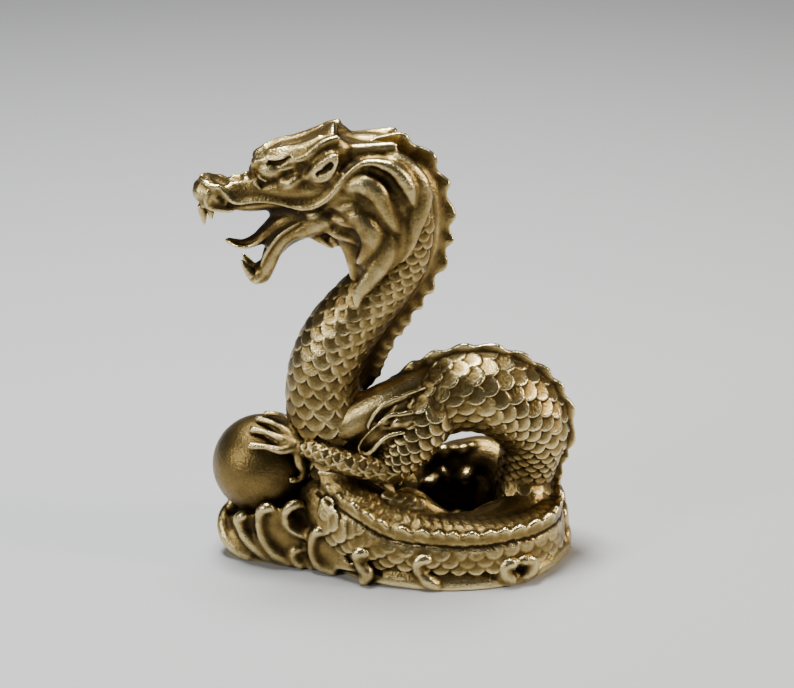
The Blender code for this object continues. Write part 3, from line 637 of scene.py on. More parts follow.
JAW_BODY = [
    (-10.4, -3.5, 56.2, 2.0), (-11.9, -3.5, 55.5, 1.9), (-13.7, -3.3, 54.5, 1.5), (-15.6, -3.1, 53.7, 1.15),
    (-17.1, -2.9, 52.4, 1.0), (-18.3, -2.6, 50.5, 1.0), (-19.3, -2.2, 48.3, 1.1), (-20.4, -1.3, 46.3, 1.3),
]
head_forms.append(rod("muzzle", MUZZLE, press=1.3, sides=8))
head_forms.append(rod("cranium", CRANIUM, press=1.15, sides=8))
head_forms.append(tube("nape", NECK, 0.0, 3.2))
head_forms.append(rod("jaw_floor", JAW_FLOOR, press=2.0))
head_forms.append(rod("tongue", TONGUE, press=2.0))
head_forms.append(rod("tongue_root", [(-18.0, HEAD_Y, 53.2, 1.2), (-18.8, HEAD_Y, 49.4, 1.0)], press=1.6))
head_forms.append(lump("chin", (-20.8, HEAD_Y, 46.5), (2.0, 2.3, 1.6), turn=-30))
head_forms += paired("cheek_plane", CHEEK_PLANE, sides=8)
head_forms += paired("jaw_body", JAW_BODY, sides=8)
print("skull and jaws:", len(head_forms), "forms")

# %% [markdown]
# The teeth, the folds over the nose and the thin rims of the jaw and the tongue are as fine as a needle. They are
# kept apart until the head has its soft creases, or the filling would bridge the gap between fang and tongue.

# %% Teeth and thin lips
THIN = {
    "upper_fang": [(-29.1, -1.7, 57.4, 0.7), (-29.0, -1.8, 56.0, 0.5), (-28.8, -1.8, 54.7, 0.22)],
    "corner_tooth": [(-27.8, -2.0, 57.2, 0.7), (-27.7, -2.0, 55.8, 0.3)],
    "lower_fang": [(-21.9, -1.8, 46.7, 0.9), (-22.7, -1.9, 47.8, 0.6), (-23.3, -1.9, 48.8, 0.28)],
    "bridge_fold": [(-21.4, -2.2, 62.0, 0.45), (-20.8, -2.9, 61.5, 0.62), (-20.2, -3.3, 60.8, 0.35)],
    "eye_fold": [(-20.7, -2.6, 63.2, 0.35), (-20.1, -3.2, 62.6, 0.52), (-19.4, -3.6, 62.0, 0.3)],
    "bridge_knob": [(-22.5, -1.7, 61.6, 0.6), (-22.2, -1.9, 61.4, 0.72), (-21.9, -2.0, 61.1, 0.6)],
    "nose_ridge": [(-29.2, -1.5, 61.5, 0.35), (-28.3, -2.4, 61.3, 0.45), (-27.4, -2.9, 60.9, 0.45), (-26.4, -3.1, 60.9, 0.4)],
    "nose_edge": [(-27.6, -2.8, 60.7, 0.4), (-28.1, -2.9, 59.7, 0.48), (-28.3, -2.8, 58.6, 0.48), (-27.9, -2.8, 57.6, 0.4)],
    "jaw_rim": [
        (-13.4, -4.2, 56.0, 0.25), (-14.4, -4.1, 55.6, 0.3), (-15.9, -3.9, 54.7, 0.34), (-17.3, -3.6, 53.6, 0.34),
        (-18.5, -3.4, 52.2, 0.34), (-19.6, -3.0, 50.3, 0.34), (-20.3, -2.5, 48.3, 0.3),
    ],
    "tongue_edge": [
        (-25.3, -1.0, 51.7, 0.25), (-24.2, -1.7, 51.2, 0.3), (-22.7, -2.0, 51.1, 0.3), (-21.1, -2.2, 51.8, 0.3),
        (-19.9, -2.4, 52.8, 0.3), (-18.0, -2.6, 54.7, 0.25),
    ],
}
thin_forms = [form for name, knots in THIN.items() for form in paired(name, knots)]

# %% [markdown]
# The lip ridge is the line that ties the head together: it starts at the nostril, runs along the lip and the
# cheek, rises round the jaw and ends as a broad lock of the mane. The other lines of the face, the lids, the
# brows, the ears and the horns, are rods too, and small eggs of wax fill the face between them.

# %% Nose, lip ridge and face
FACE = {
    "nose_wing": [
        (-28.9, -1.4, 60.8, 0.9), (-27.7, -2.2, 60.7, 0.9), (-27.4, -2.5, 60.0, 0.8), (-27.7, -2.6, 59.2, 0.75),
        (-28.1, -2.4, 58.2, 0.8), (-28.7, -2.2, 57.8, 0.6),
    ],
    "nose_back": [(-27.4, -2.8, 60.6, 0.6), (-26.2, -3.0, 60.8, 0.45)],
    "lip": [
        (-26.2, -3.0, 60.8, 0.42), (-25.3, -3.1, 59.9, 0.45), (-24.5, -3.2, 58.9, 0.45), (-23.3, -3.3, 58.6, 0.45),
        (-21.5, -3.5, 58.9, 0.45), (-19.4, -3.8, 59.0, 0.45), (-17.3, -4.2, 58.8, 0.45), (-15.5, -4.6, 58.4, 0.45),
        (-13.9, -5.0, 58.3, 0.5), (-12.4, -5.3, 58.6, 0.48), (-10.9, -5.6, 59.4, 0.46), (-9.4, -5.9, 60.9, 0.45),
        (-8.1, -6.1, 62.6, 0.45), (-6.7, -6.2, 64.3, 0.45), (-5.2, -6.3, 65.4, 0.48), (-3.6, -6.4, 65.7, 0.55),
        (-2.0, -6.5, 65.4, 0.8), (-0.4, -6.5, 64.7, 1.1), (0.9, -6.5, 63.3, 1.25), (1.8, -6.5, 61.6, 1.1),
        (2.3, -6.4, 59.6, 0.45),
    ],
    "mouth_flare": [(-27.8, -2.7, 57.7, 0.6), (-26.4, -2.8, 57.3, 0.5), (-24.6, -2.9, 57.2, 0.4)],
    "cheekbone": [(-16.7, -4.0, 61.1, 0.7), (-15.7, -4.3, 61.8, 1.0), (-14.5, -4.5, 62.7, 0.75)],
    "brow_bed": [(-20.4, -2.2, 64.4, 1.3), (-17.0, -2.8, 65.3, 1.7), (-14.0, -3.3, 66.0, 1.8), (-11.6, -3.4, 67.0, 1.7), (-9.8, -3.0, 68.0, 1.2)],
    "upper_lid": [
        (-20.8, -3.0, 64.8, 0.3), (-19.5, -3.6, 65.3, 0.42), (-17.9, -4.1, 65.5, 0.45), (-16.6, -4.4, 65.8, 0.45),
        (-15.5, -4.6, 66.2, 0.35),
    ],
    "brow_ridge": [
        (-15.9, -4.5, 65.8, 0.4), (-14.2, -4.8, 65.8, 0.6), (-12.7, -5.0, 66.7, 0.65), (-11.5, -5.0, 67.7, 0.62),
        (-10.4, -5.0, 68.4, 0.55), (-8.7, -4.8, 69.0, 0.4),
    ],
    "plate_ridge": [
        (-18.9, -2.9, 66.3, 0.3), (-17.2, -3.1, 66.8, 0.36), (-15.4, -3.3, 67.1, 0.36), (-13.3, -3.4, 67.5, 0.36),
        (-11.6, -3.2, 68.5, 0.3),
    ],
    "lower_lid": [(-19.0, -3.8, 63.9, 0.26), (-17.8, -4.2, 63.9, 0.34), (-16.6, -4.4, 64.2, 0.34), (-15.4, -4.6, 64.5, 0.26)],
    "horn": [(-9.0, -3.4, 66.5, 1.0), (-6.9, -3.7, 66.8, 0.92), (-4.2, -4.0, 67.1, 0.86), (-1.8, -4.2, 67.4, 0.8), (-0.5, -4.3, 67.6, 0.66)],
    "ear_up": [(-13.2, -4.9, 63.0, 0.5), (-11.9, -5.6, 64.5, 0.68), (-10.8, -6.1, 65.6, 0.7), (-9.6, -6.6, 66.5, 0.58), (-8.8, -7.0, 66.9, 0.35)],
    "ear_low": [(-12.6, -5.0, 62.9, 0.5), (-11.5, -5.5, 62.8, 0.55), (-10.4, -6.0, 63.2, 0.55), (-9.5, -6.5, 64.4, 0.52), (-8.8, -7.0, 66.2, 0.4)],
    "ear_bed": [(-13.2, -4.4, 62.9, 0.8), (-11.6, -4.9, 63.9, 1.4), (-10.2, -5.4, 64.9, 1.4), (-9.2, -6.1, 66.0, 0.6)],
    "beard": [(-12.2, -2.8, 53.2, 0.8), (-10.8, -2.8, 52.1, 0.5), (-9.6, -2.8, 51.2, 0.22)],
}
EGGS = {  # centre and radii of the small swellings of the face, near side
    "nose_top": ((-28.3, -1.3, 60.7), (1.2, 1.4, 1.1)),
    "bridge_front": ((-22.2, -1.8, 61.3), (0.85, 0.8, 0.75)),
    "bridge_side": ((-20.8, -2.6, 61.5), (0.75, 0.75, 0.85)),
    "bridge_top": ((-20.0, -2.8, 62.5), (0.5, 0.6, 0.75)),
    "eye_ball": ((-18.2, -2.9, 63.7), (2.5, 1.6, 1.6)),
    "cheek_swell": ((-15.9, -3.9, 61.9), (1.8, 0.95, 1.05)),
    "behind_brow": ((-9.2, -3.2, 65.6), (3.4, 2.0, 2.4)),
    "brow_root": ((-9.4, -3.8, 67.0), (2.6, 1.7, 2.0)),
    "nose_side": ((-26.9, -1.9, 59.0), (1.5, 1.15, 1.4)),
    "horn_bed": ((-4.6, -2.6, 66.0), (5.0, 2.3, 1.8)),
    "jaw_muscle": ((-11.9, -3.7, 57.1), (1.9, 1.6, 2.0)),
    "temple_bed": ((-5.0, -3.0, 63.0), (5.2, 3.5, 2.8)),
    "mane_bed": ((-3.4, -3.0, 57.4), (5.8, 4.1, 7.2)),
    "neck_bed": ((-3.6, -3.4, 50.6), (2.8, 2.9, 5.0)),
}
CHEEK = (
    [(-25.6, -2.6, 60.2), (-22.5, -2.8, 59.0), (-19.4, -3.1, 59.0), (-16.0, -3.7, 58.8), (-13.0, -4.3, 58.8), (-10.9, -4.8, 59.6), (-8.6, -5.2, 61.9)],
    [(-24.6, -1.6, 61.0), (-22.0, -2.0, 61.6), (-19.6, -2.7, 62.8), (-16.8, -3.4, 64.2), (-14.3, -3.9, 64.4), (-12.0, -4.2, 64.4), (-9.4, -4.6, 65.6)],
)
BROW = (
    [(-20.9, -2.0, 64.6), (-18.0, -3.2, 65.2), (-15.5, -3.8, 65.9), (-13.0, -4.2, 66.3), (-10.9, -4.2, 67.6)],
    [(-19.8, -1.8, 66.0), (-17.4, -2.4, 66.6), (-15.0, -2.8, 67.0), (-13.0, -3.0, 67.4), (-10.9, -3.0, 68.8)],
)
for low, high in (CHEEK, BROW):
    for near_or_far in zip(both_sides(low), both_sides(high)):
        head_forms.append(sheet("face_plane", *near_or_far, 1.4))
head_forms.append(lump("nose", (-28.3, HEAD_Y, 59.6), (1.5, 2.5, 2.35)))
for name, knots in FACE.items():
    head_forms += paired(name, knots, sides=5)
for name, (centre, radii) in EGGS.items():
    for middle in both_sides([centre]):
        head_forms.append(lump(name, middle[0], radii))
print("with the face:", len(head_forms), "forms")

# %% [markdown]
# The brow plate is a shield that rises backwards to the highest point of the whole piece. It is made from a flat
# grid: each row of its vertices is lifted and narrowed to a section measured at that place, and the sheet is then
# given its thickness with Solidify.

# %% Brow plate
PLATE = [  # x, z of the middle line, half width, z of the edge
    (-21.8, 63.2, 1.2, 62.2), (-20.2, 65.2, 3.1, 63.9), (-17.2, 66.9, 3.9, 65.2), (-14.2, 67.5, 4.4, 65.8),
    (-11.8, 68.6, 4.6, 67.0), (-9.3, 70.2, 3.4, 68.8),
]
deselect()
bpy.ops.mesh.primitive_grid_add(x_subdivisions=len(PLATE) * 3 - 3, y_subdivisions=12, size=2, location=(0, 0, 0))
plate = bpy.context.object
plate.name = "brow_plate"
stations = np.linspace(0, len(PLATE) - 1, 50)
columns = [np.interp(stations, range(len(PLATE)), [row[i] for row in PLATE]) for i in range(4)]
for vertex in plate.data.vertices:
    mark = (vertex.co.x + 1) / 2 * (len(PLATE) - 1)
    x, middle, half, edge = (np.interp(mark, stations, column) for column in columns)
    aside = vertex.co.y
    roof = edge + (middle - edge) * (1 - abs(aside) ** 1.7)
    vertex.co = Vector((x, HEAD_Y + aside * half, roof)) * MM
thickness = plate.modifiers.new("thickness", "SOLIDIFY")
thickness.thickness = 1.1 * MM
thickness.offset = -1
bpy.ops.object.modifier_apply(modifier="thickness")
head_forms.append(plate)

# %% [markdown]
# ## The mane
#
# Flame-shaped locks on each side sweep back from the cheek, swell and taper to a point down the neck. They are
# pressed flat, so they read as broad bands with soft valleys between them, half sunk in the bed of the mane.

# %% Mane
SWELLING = [
    (-10.4, -3.0, 60.0, 2.7), (-6.0, -3.3, 60.2, 3.2), (-2.0, -3.1, 57.6, 3.3), (-2.2, -2.7, 52.4, 2.7),
    (-4.2, -2.4, 47.8, 2.1),
]
LOCKS = {
    "crown": [
        (-2.0, -4.4, 66.0, 0.6), (-0.4, -4.9, 65.6, 1.3), (1.4, -5.0, 63.9, 1.9), (2.9, -5.0, 61.9, 2.0),
        (3.5, -5.0, 59.8, 1.8), (3.1, -5.4, 57.5, 1.5), (2.4, -5.7, 55.2, 1.25), (1.7, -5.8, 52.7, 1.0), (0.7, -5.9, 50.2, 0.35),
    ],
    "temple": [
        (-7.5, -5.6, 61.2, 0.7), (-6.3, -6.1, 62.0, 1.3), (-4.5, -6.5, 62.2, 1.7), (-2.9, -6.7, 61.1, 1.7),
        (-2.1, -6.8, 59.4, 1.35), (-1.2, -6.8, 57.4, 1.0), (0.0, -6.6, 55.3, 0.35),
    ],
    "cheek": [
        (-7.7, -5.6, 57.5, 0.8), (-6.2, -6.1, 57.3, 1.5), (-4.6, -6.6, 56.2, 1.8), (-3.8, -6.7, 54.3, 1.75),
        (-4.2, -6.5, 52.4, 1.3), (-5.8, -6.0, 50.0, 0.35),
    ],
    "cheek_tip": [(-9.5, -5.1, 56.7, 0.35), (-7.8, -5.9, 56.3, 0.7), (-6.0, -6.4, 56.3, 0.9)],
    "cheek_top": [(-9.5, -5.1, 58.6, 0.35), (-7.9, -5.8, 58.5, 0.7), (-6.3, -6.2, 58.7, 0.85), (-4.6, -6.5, 58.0, 0.7), (-3.1, -6.6, 56.5, 0.35)],
    "jaw_tip": [(-10.7, -4.5, 55.1, 0.45), (-8.9, -5.2, 54.3, 0.8), (-7.1, -5.5, 53.7, 0.7), (-5.8, -5.5, 52.9, 0.3)],
    "long": [
        (-3.0, -5.9, 55.5, 0.7), (-1.6, -6.2, 54.1, 1.3), (-1.5, -6.4, 52.3, 1.6), (-2.8, -6.4, 49.4, 1.6),
        (-4.6, -6.3, 46.7, 1.25), (-5.8, -6.1, 44.7, 0.9), (-6.0, -5.9, 42.9, 0.35),
    ],
    "middle": [
        (-0.7, -5.4, 58.9, 1.0), (-0.1, -5.6, 57.3, 1.3), (0.6, -5.7, 55.1, 1.4), (0.2, -5.8, 52.4, 1.4),
        (-1.1, -5.8, 49.8, 1.0), (-2.5, -5.8, 47.8, 0.35),
    ],
    "behind": [(-1.6, -5.3, 63.0, 1.1), (-0.4, -5.4, 60.8, 1.5), (0.6, -5.4, 58.6, 1.5), (1.2, -5.5, 56.6, 1.1)],
    "throat": [(-8.4, -3.4, 55.0, 1.6), (-6.9, -3.9, 52.4, 1.7), (-6.2, -3.8, 49.2, 1.4), (-6.4, -3.4, 46.8, 0.7)],
}
head_forms += paired("swelling", SWELLING, sides=8)
for name, knots in LOCKS.items():
    head_forms += paired(name + "_lock", knots, press=0.72, sides=6)
print("the whole head:", len(head_forms), "forms")
head_core = fuse("head_core", head_forms, 0.15, close=0.65)
head = fuse("head", [head_core, *thin_forms], 0.14, smooth=2)
SLITS = [  # line, width and depth of the dark slits of the head, near side
    ([(-18.7, -4.1, 65.0), (-17.6, -4.3, 65.0), (-16.7, -4.5, 65.4), (-15.8, -4.6, 66.0)], 0.32, 0.55),
    ([(-11.6, -6.2, 63.8), (-10.9, -6.3, 64.3), (-10.1, -6.6, 64.9), (-9.6, -6.9, 65.5)], 0.34, 0.6),
    ([(-26.4, -3.0, 59.4), (-26.0, -3.0, 58.9)], 0.4, 0.2),
    ([(-25.0, -3.0, 58.0), (-23.3, -3.0, 57.8), (-21.5, -3.2, 58.1), (-19.4, -3.5, 58.2), (-17.3, -3.9, 58.0),
      (-15.5, -4.3, 57.6), (-13.9, -4.7, 57.5), (-12.3, -5.0, 57.8), (-10.8, -5.2, 58.6)], 0.35, 0.3),
    ([(-19.6, -3.2, 61.4), (-18.2, -3.7, 62.0), (-16.6, -4.1, 63.0), (-15.4, -4.4, 63.7)], 0.5, 0.16),
]
for line, width, depth in SLITS:
    for side in both_sides(line):
        engrave(head, side, width, depth)

# %% [markdown]
# ## The pearl and the hand
#
# The pearl is a plain ball, with no more shape than its patina and the painted shade of the covered sky give it.
# Four fingers fan out from the wrist and lie on it, with a thin web between them, and the thumb hangs down behind.
# The forearm has coarse scales that stand up like bark. The hidden arm is plainer, and reaches down to the foam behind
# the neck.

# %% Pearl and hand
PEARL = (-21.2, 0.5, 14.2)
PEARL_RADIUS = 7.8
WRIST = (-15.3, -6.0, 20.1)
FINGERS = {
    "first": [(-16.1, -3.6, 21.8, 0.85), (-17.1, -1.4, 22.6, 0.55), (-18.6, 0.4, 22.6, 0.45), (-20.5, 1.2, 22.4, 0.5)],
    "second": [(-17.0, -4.3, 21.7, 0.75), (-19.1, -2.6, 22.3, 0.5), (-21.5, -0.9, 22.4, 0.62)],
    "third": [(-17.8, -5.3, 21.0, 0.75), (-20.0, -4.2, 21.5, 0.5), (-22.3, -3.0, 21.5, 0.68)],
    "fourth": [(-17.6, -6.6, 19.7, 0.75), (-20.1, -5.9, 19.9, 0.5), (-22.5, -5.2, 19.8, 0.68)],
    "thumb": [(-15.1, -6.3, 17.4, 0.7), (-14.6, -5.6, 15.4, 0.55), (-15.1, -5.4, 14.2, 0.5), (-16.2, -5.9, 14.3, 0.66)],
}
HAND_WEB = (
    [(-15.6, -3.6, 20.8), (-17.0, -2.2, 21.2), (-18.0, -1.2, 21.4), (-18.8, -0.8, 21.4)],
    [(-15.8, -5.5, 19.2), (-17.4, -5.0, 19.6), (-18.4, -4.4, 19.8), (-19.4, -4.0, 19.8)],
)
FAR_ARM = [(2.4, 1.0, 24.4, 3.0), (0.8, 4.4, 20.0, 2.6), (-0.4, 6.4, 16.4, 2.0), (-4.8, 7.6, 15.4, 1.7), (-9.4, 8.6, 12.6, 1.4)]
arm_forms = [rod("forearm", ARM[2:], sides=8), lump("palm", (-15.5, -5.6, 20.0), (1.7, 1.5, 1.4), turn=20)]
for name, joints in FINGERS.items():
    arm_forms.append(rod(name + "_finger", [(*WRIST, 0.9), *joints]))
arm_forms.append(sheet("hand_web", *HAND_WEB, 0.6, (0, 0.1, -0.1)))
arm_forms += [rod("elbow_spur", [(-2.2, -8.0, 16.6, 1.2), (-1.5, -8.8, 15.1, 0.95), (-0.6, -9.1, 13.9, 0.35)])]
arm_forms += [rod("elbow_spike", [(-0.4, -7.4, 16.8, 1.0), (0.3, -7.9, 15.5, 0.7), (0.5, -8.1, 14.5, 0.3)])]
arm_forms += [rod("far_arm", FAR_ARM, sides=8)]
for spread in (-2.2, 0.0, 2.2):
    claw = [(-9.0, 8.4, 12.8, 0.9), (-11.6, 8.8 + spread * 0.7, 11.6, 0.7), (-13.2, 8.4 + spread, 9.2, 0.35)]
    arm_forms.append(rod("far_claw", claw))
arm_core = fuse("arm_core", arm_forms, 0.15, close=0.15)
arm_scales = lay_scales(ARM[2:], 1.0, 4.4, 6, lambda number, out, spot: out.y > 0.5, lean=8, sink=0.68, rough=26)
arm_scales += lay_scales(FAR_ARM, 0.8, 3.8, 8, lean=9, rough=10)
arms = fuse("arms", [arm_core, *arm_scales], 0.14, smooth=2)

deselect()
bpy.ops.mesh.primitive_uv_sphere_add(segments=128, ring_count=64, radius=PEARL_RADIUS * MM, location=[c * MM for c in PEARL])
pearl = bpy.context.object
pearl.name = pearl.data.name = "pearl"
bpy.ops.object.transform_apply(location=True, rotation=True, scale=True)
bpy.ops.object.shade_smooth()

# %% [markdown]
# ## The base and its foam
#
# The base is a flared slab with the outline of the whole piece: narrow under the pearl and wide under the coil.
# Round its edge small waves break. It starts as a disc whose rim is moved onto the outline and then extruded in
# two steps, the upper one narrower, as the real foot is.

# %% Slab
OUTLINE = [
    (-27.5, 0.0), (-25.3, -4.6), (-20.6, -6.2), (-15.4, -7.0), (-10.0, -8.4), (-5.6, -12.2), (0.8, -14.6),
    (6.6, -15.6), (13.2, -15.1), (19.0, -13.2), (23.2, -9.6), (26.4, -4.6), (27.9, 0.4), (26.2, 6.0),
    (21.6, 11.2), (14.8, 14.4), (7.2, 15.4), (-0.6, 14.4), (-8.0, 11.4), (-14.8, 8.8), (-21.0, 7.2), (-25.6, 4.4),
]
SLAB_HEIGHT = 2.8
SLAB_FLARE = 1.3


def rim(turn):
    """A place on the outline, from 0 to 1 round it, on a smooth closed curve through its corners."""
    count = len(OUTLINE)
    span = int((turn % 1.0) * count)
    t = (turn % 1.0) * count - span
    before, start, end, after = (Vector(OUTLINE[(span + step) % count]) for step in (-1, 0, 1, 2))
    bend = (end - before) * t + (2 * before - 5 * start + 4 * end - after) * t * t
    return 0.5 * (2 * start + bend + (3 * start - before - 3 * end + after) * t**3)


deselect()
bpy.ops.mesh.primitive_circle_add(vertices=132, radius=1, fill_type="NGON", location=(0, 0, 0))
slab = bpy.context.object
slab.name = "slab"
for index, vertex in enumerate(slab.data.vertices):
    place = rim(index / 132)
    vertex.co = (place.x * MM, place.y * MM, 0)
bpy.ops.object.mode_set(mode="EDIT")
bpy.ops.mesh.select_all(action="SELECT")
bpy.ops.mesh.extrude_region_move(TRANSFORM_OT_translate={"value": (0, 0, 1.3 * MM)})
bpy.ops.transform.resize(value=(0.992, 0.985, 1))
bpy.ops.mesh.extrude_region_move(TRANSFORM_OT_translate={"value": (0, 0, (SLAB_HEIGHT - 1.3) * MM)})
bpy.ops.transform.resize(value=(1 - 2 * SLAB_FLARE / 55.5, 1 - 2 * SLAB_FLARE / 31, 1))
bpy.ops.mesh.select_all(action="SELECT")
bpy.ops.mesh.normals_make_consistent(inside=False)
bpy.ops.object.mode_set(mode="OBJECT")
print("slab measures", [round(v / MM, 1) for v in slab.dimensions], "mm")

# %% [markdown]
# Each wave is a rod that rises from the rim and hooks over to a round tip. Sheets of thin water hang between the
# waves under the pearl, and small lumps break the swell that is seen under the arch. The hidden side has one
# plain wave, repeated along the rim in a loop. Last, the base is cut level underneath.

# %% Foam
CURLS = {
    "outer": [(-26.2, 2.2, 6.6, 0.7), (-27.3, -0.6, 5.4, 1.1), (-27.0, -2.4, 3.4, 1.25), (-25.6, -3.8, 1.8, 1.2), (-23.4, -5.0, 0.8, 1.0)],
    "outer_inner": [(-26.0, -1.6, 5.0, 0.5), (-25.9, -3.0, 3.9, 0.7), (-24.7, -4.3, 2.5, 0.75), (-23.0, -5.3, 1.3, 0.6)],
    "ball": [
        (-24.0, -5.5, 8.0, 0.95), (-24.7, -5.3, 7.3, 0.9), (-24.4, -5.3, 6.0, 0.85), (-23.6, -5.4, 4.6, 1.15),
        (-22.0, -5.8, 3.0, 1.35), (-19.9, -6.2, 1.6, 1.35), (-17.7, -6.6, 0.8, 1.1),
    ],
    "hook": [
        (-19.1, -7.0, 9.7, 0.75), (-20.1, -7.2, 10.2, 1.0), (-21.0, -7.1, 9.5, 0.95), (-21.3, -6.9, 8.1, 0.8),
        (-21.2, -6.8, 6.1, 0.8), (-20.5, -6.9, 4.3, 1.0), (-18.9, -7.1, 2.4, 1.3), (-16.7, -7.3, 1.2, 1.2),
    ],
    "great": [
        (-14.9, -7.2, 10.7, 0.7), (-15.8, -7.5, 10.9, 0.95), (-16.9, -7.6, 10.1, 0.9), (-17.3, -7.5, 8.7, 0.7),
        (-16.9, -7.6, 7.2, 0.6), (-15.7, -7.9, 6.3, 0.6), (-14.1, -8.1, 5.8, 0.7), (-12.9, -8.3, 5.8, 0.6),
    ],
    "round": [
        (-10.8, -9.3, 7.1, 0.95), (-11.9, -9.4, 7.3, 1.05), (-12.8, -9.2, 6.3, 0.85), (-13.2, -9.0, 4.5, 0.75),
        (-12.9, -8.9, 2.7, 0.95), (-12.0, -9.2, 1.5, 1.1), (-10.1, -9.8, 0.8, 1.1),
    ],
    "low": [(-15.3, -7.9, 3.4, 0.75), (-16.0, -7.9, 3.0, 0.8), (-16.1, -7.9, 1.8, 0.85), (-15.1, -8.0, 0.8, 0.9)],
    "low_right": [(-13.4, -8.2, 2.3, 0.5), (-13.7, -8.2, 1.5, 0.7), (-13.3, -8.3, 0.7, 0.8)],
    "knobs": [
        (-4.9, -12.9, 5.3, 1.0), (-5.9, -13.0, 5.3, 1.05), (-6.0, -12.9, 4.1, 0.8), (-5.3, -13.2, 3.0, 1.05),
        (-4.6, -13.5, 2.3, 1.2), (-5.0, -13.3, 1.0, 1.1),
    ],
    "s": [
        (4.6, -14.5, 5.0, 0.95), (3.5, -14.5, 4.8, 1.05), (3.1, -14.3, 3.6, 0.95), (3.8, -14.4, 2.4, 1.0),
        (4.7, -14.8, 1.5, 1.15), (5.9, -15.0, 0.8, 0.95),
    ],
    "split_left": [(17.7, -13.5, 3.9, 1.0), (16.7, -13.6, 3.5, 1.1), (16.6, -13.5, 2.1, 1.2), (17.5, -13.3, 0.9, 1.1)],
    "split_right": [(19.4, -12.7, 4.0, 0.9), (20.7, -12.1, 3.5, 1.05), (20.8, -12.0, 2.1, 1.1), (19.9, -12.2, 1.0, 1.0)],
    "end": [(24.8, 1.4, 5.2, 1.0), (26.1, 0.2, 3.8, 1.1), (26.5, -0.8, 2.0, 1.3), (25.8, -1.8, 0.9, 1.2)],
    "rim_end": [(25.6, 3.6, 8.6, 0.8), (26.0, 2.2, 7.4, 0.9), (25.6, 1.4, 5.6, 1.1)],
    "pit": [(10.6, -3.6, 5.6, 0.8), (12.4, -3.2, 6.8, 1.0), (14.4, -2.6, 7.7, 1.0), (15.8, -2.6, 8.1, 1.0), (17.0, -3.2, 7.4, 1.2)],
    "pit_right": [(15.8, -2.6, 8.2, 0.8), (17.0, -2.2, 9.4, 0.8), (17.9, -2.0, 10.2, 0.55)],
    "pit_low": [(9.0, -3.6, 4.2, 1.0), (11.4, -3.2, 5.2, 1.2), (13.2, -2.4, 5.4, 1.3)],
}
WEBS = [  # the thin water between one curl and the next: a line along each, and how far it is hollowed
    ([(-26.7, -0.4, 5.4), (-26.6, -2.2, 3.4), (-25.4, -3.6, 1.8), (-23.2, -4.9, 0.9)],
     [(-24.4, -4.2, 7.4), (-24.0, -4.6, 5.6), (-23.2, -5.0, 3.8), (-21.4, -5.6, 1.8)], 0.4),
    ([(-24.3, -4.6, 7.0), (-23.4, -5.0, 4.8), (-21.9, -5.4, 3.1), (-19.6, -6.0, 1.5)],
     [(-20.8, -6.2, 9.2), (-20.8, -6.2, 6.2), (-19.9, -6.4, 4.2), (-18.2, -6.8, 2.1)], 0.3),
    ([(-20.9, -6.4, 8.8), (-20.8, -6.3, 6.2), (-19.9, -6.4, 4.4), (-18.2, -6.8, 2.4), (-16.5, -7.0, 1.2)],
     [(-17.0, -7.0, 9.6), (-16.8, -7.0, 8.0), (-15.8, -7.3, 6.2), (-14.6, -7.5, 3.8), (-13.8, -7.7, 1.5)], -0.3),
    ([(-17.0, -7.2, 8.8), (-16.6, -7.3, 7.4), (-15.4, -7.6, 6.4), (-13.2, -8.0, 5.9)],
     [(-15.4, -6.6, 10.5), (-14.2, -6.4, 10.2), (-13.0, -6.8, 9.4), (-11.8, -7.4, 8.2)], 1.2),
    ([(-12.9, -8.6, 6.3), (-13.0, -8.5, 4.5), (-12.6, -8.4, 2.7), (-11.6, -8.7, 1.3)],
     [(-8.6, -9.0, 6.4), (-8.4, -9.8, 4.6), (-7.4, -10.9, 3.0), (-6.2, -12.0, 1.6)], -0.2),
]
foam_forms = [slab] + [rod(name + "_curl", knots, sides=5) for name, knots in CURLS.items()]
foam_forms += [sheet("web", low, high, 1.3, (0, hollow, 0)) for low, high, hollow in WEBS]
for index in range(12):
    turn = 0.56 + 0.41 * index / 11
    foot = rim(turn) * 0.93
    along = (rim(turn + 0.01) - rim(turn - 0.01)).normalized() * (2.6 if index >= 6 else -2.6)
    rise = 5.0 + 2.0 * (index % 2)
    hook = [(0.0, -0.1, 1.4), (0.35, 0.1, 1.3), (0.7, 0.3, 1.1), (1.0, 0.6, 0.95), (0.88, 0.92, 0.9), (0.4, 0.98, 1.2)]
    knots = [(foot.x + along.x * lean, foot.y + along.y * lean, 1.2 + up * rise, fat * 1.1) for lean, up, fat in hook]
    foam_forms.append(rod("back_wave", knots, sides=5))
    foam_forms.append(lump("back_cup", (foot.x * 0.93 + along.x * 0.2, foot.y * 0.9 + along.y * 0.2, 2.4), (2.2, 2.0, 2.2)))
BED = [(-25.0, 0.2, 3.2, 2.8), (-21.6, 0.0, 3.8, 4.8), (-15.0, -0.4, 4.6, 4.8), (-8.0, 0.0, 4.0, 4.4)]
SWELL = [(-2.0, 9.6, 4.0, 4.0), (3.2, 10.8, 5.2, 3.8), (7.4, 10.6, 8.6, 3.7), (11.0, 10.2, 10.4, 3.4), (15.6, 9.4, 10.6, 3.6), (19.0, 6.8, 7.6, 4.2)]
foam_forms += [lump("mound", (9.5, 10.0, 5.0), (8.0, 3.8, 6.2)), lump("mound_end", (15.5, 8.8, 5.0), (4.5, 4.0, 6.4))]
for index in range(14):
    drop = Vector((9.4 + 5.6 * math.cos(index * 2.4), 7.2 - 0.5 * (index % 3), 5.6 + 3.6 * math.sin(index * 2.4)))
    foam_forms.append(lump("spray", drop, (1.5, 1.2, 0.8 + 0.2 * (index % 3)), turn=-20 + index * 13))
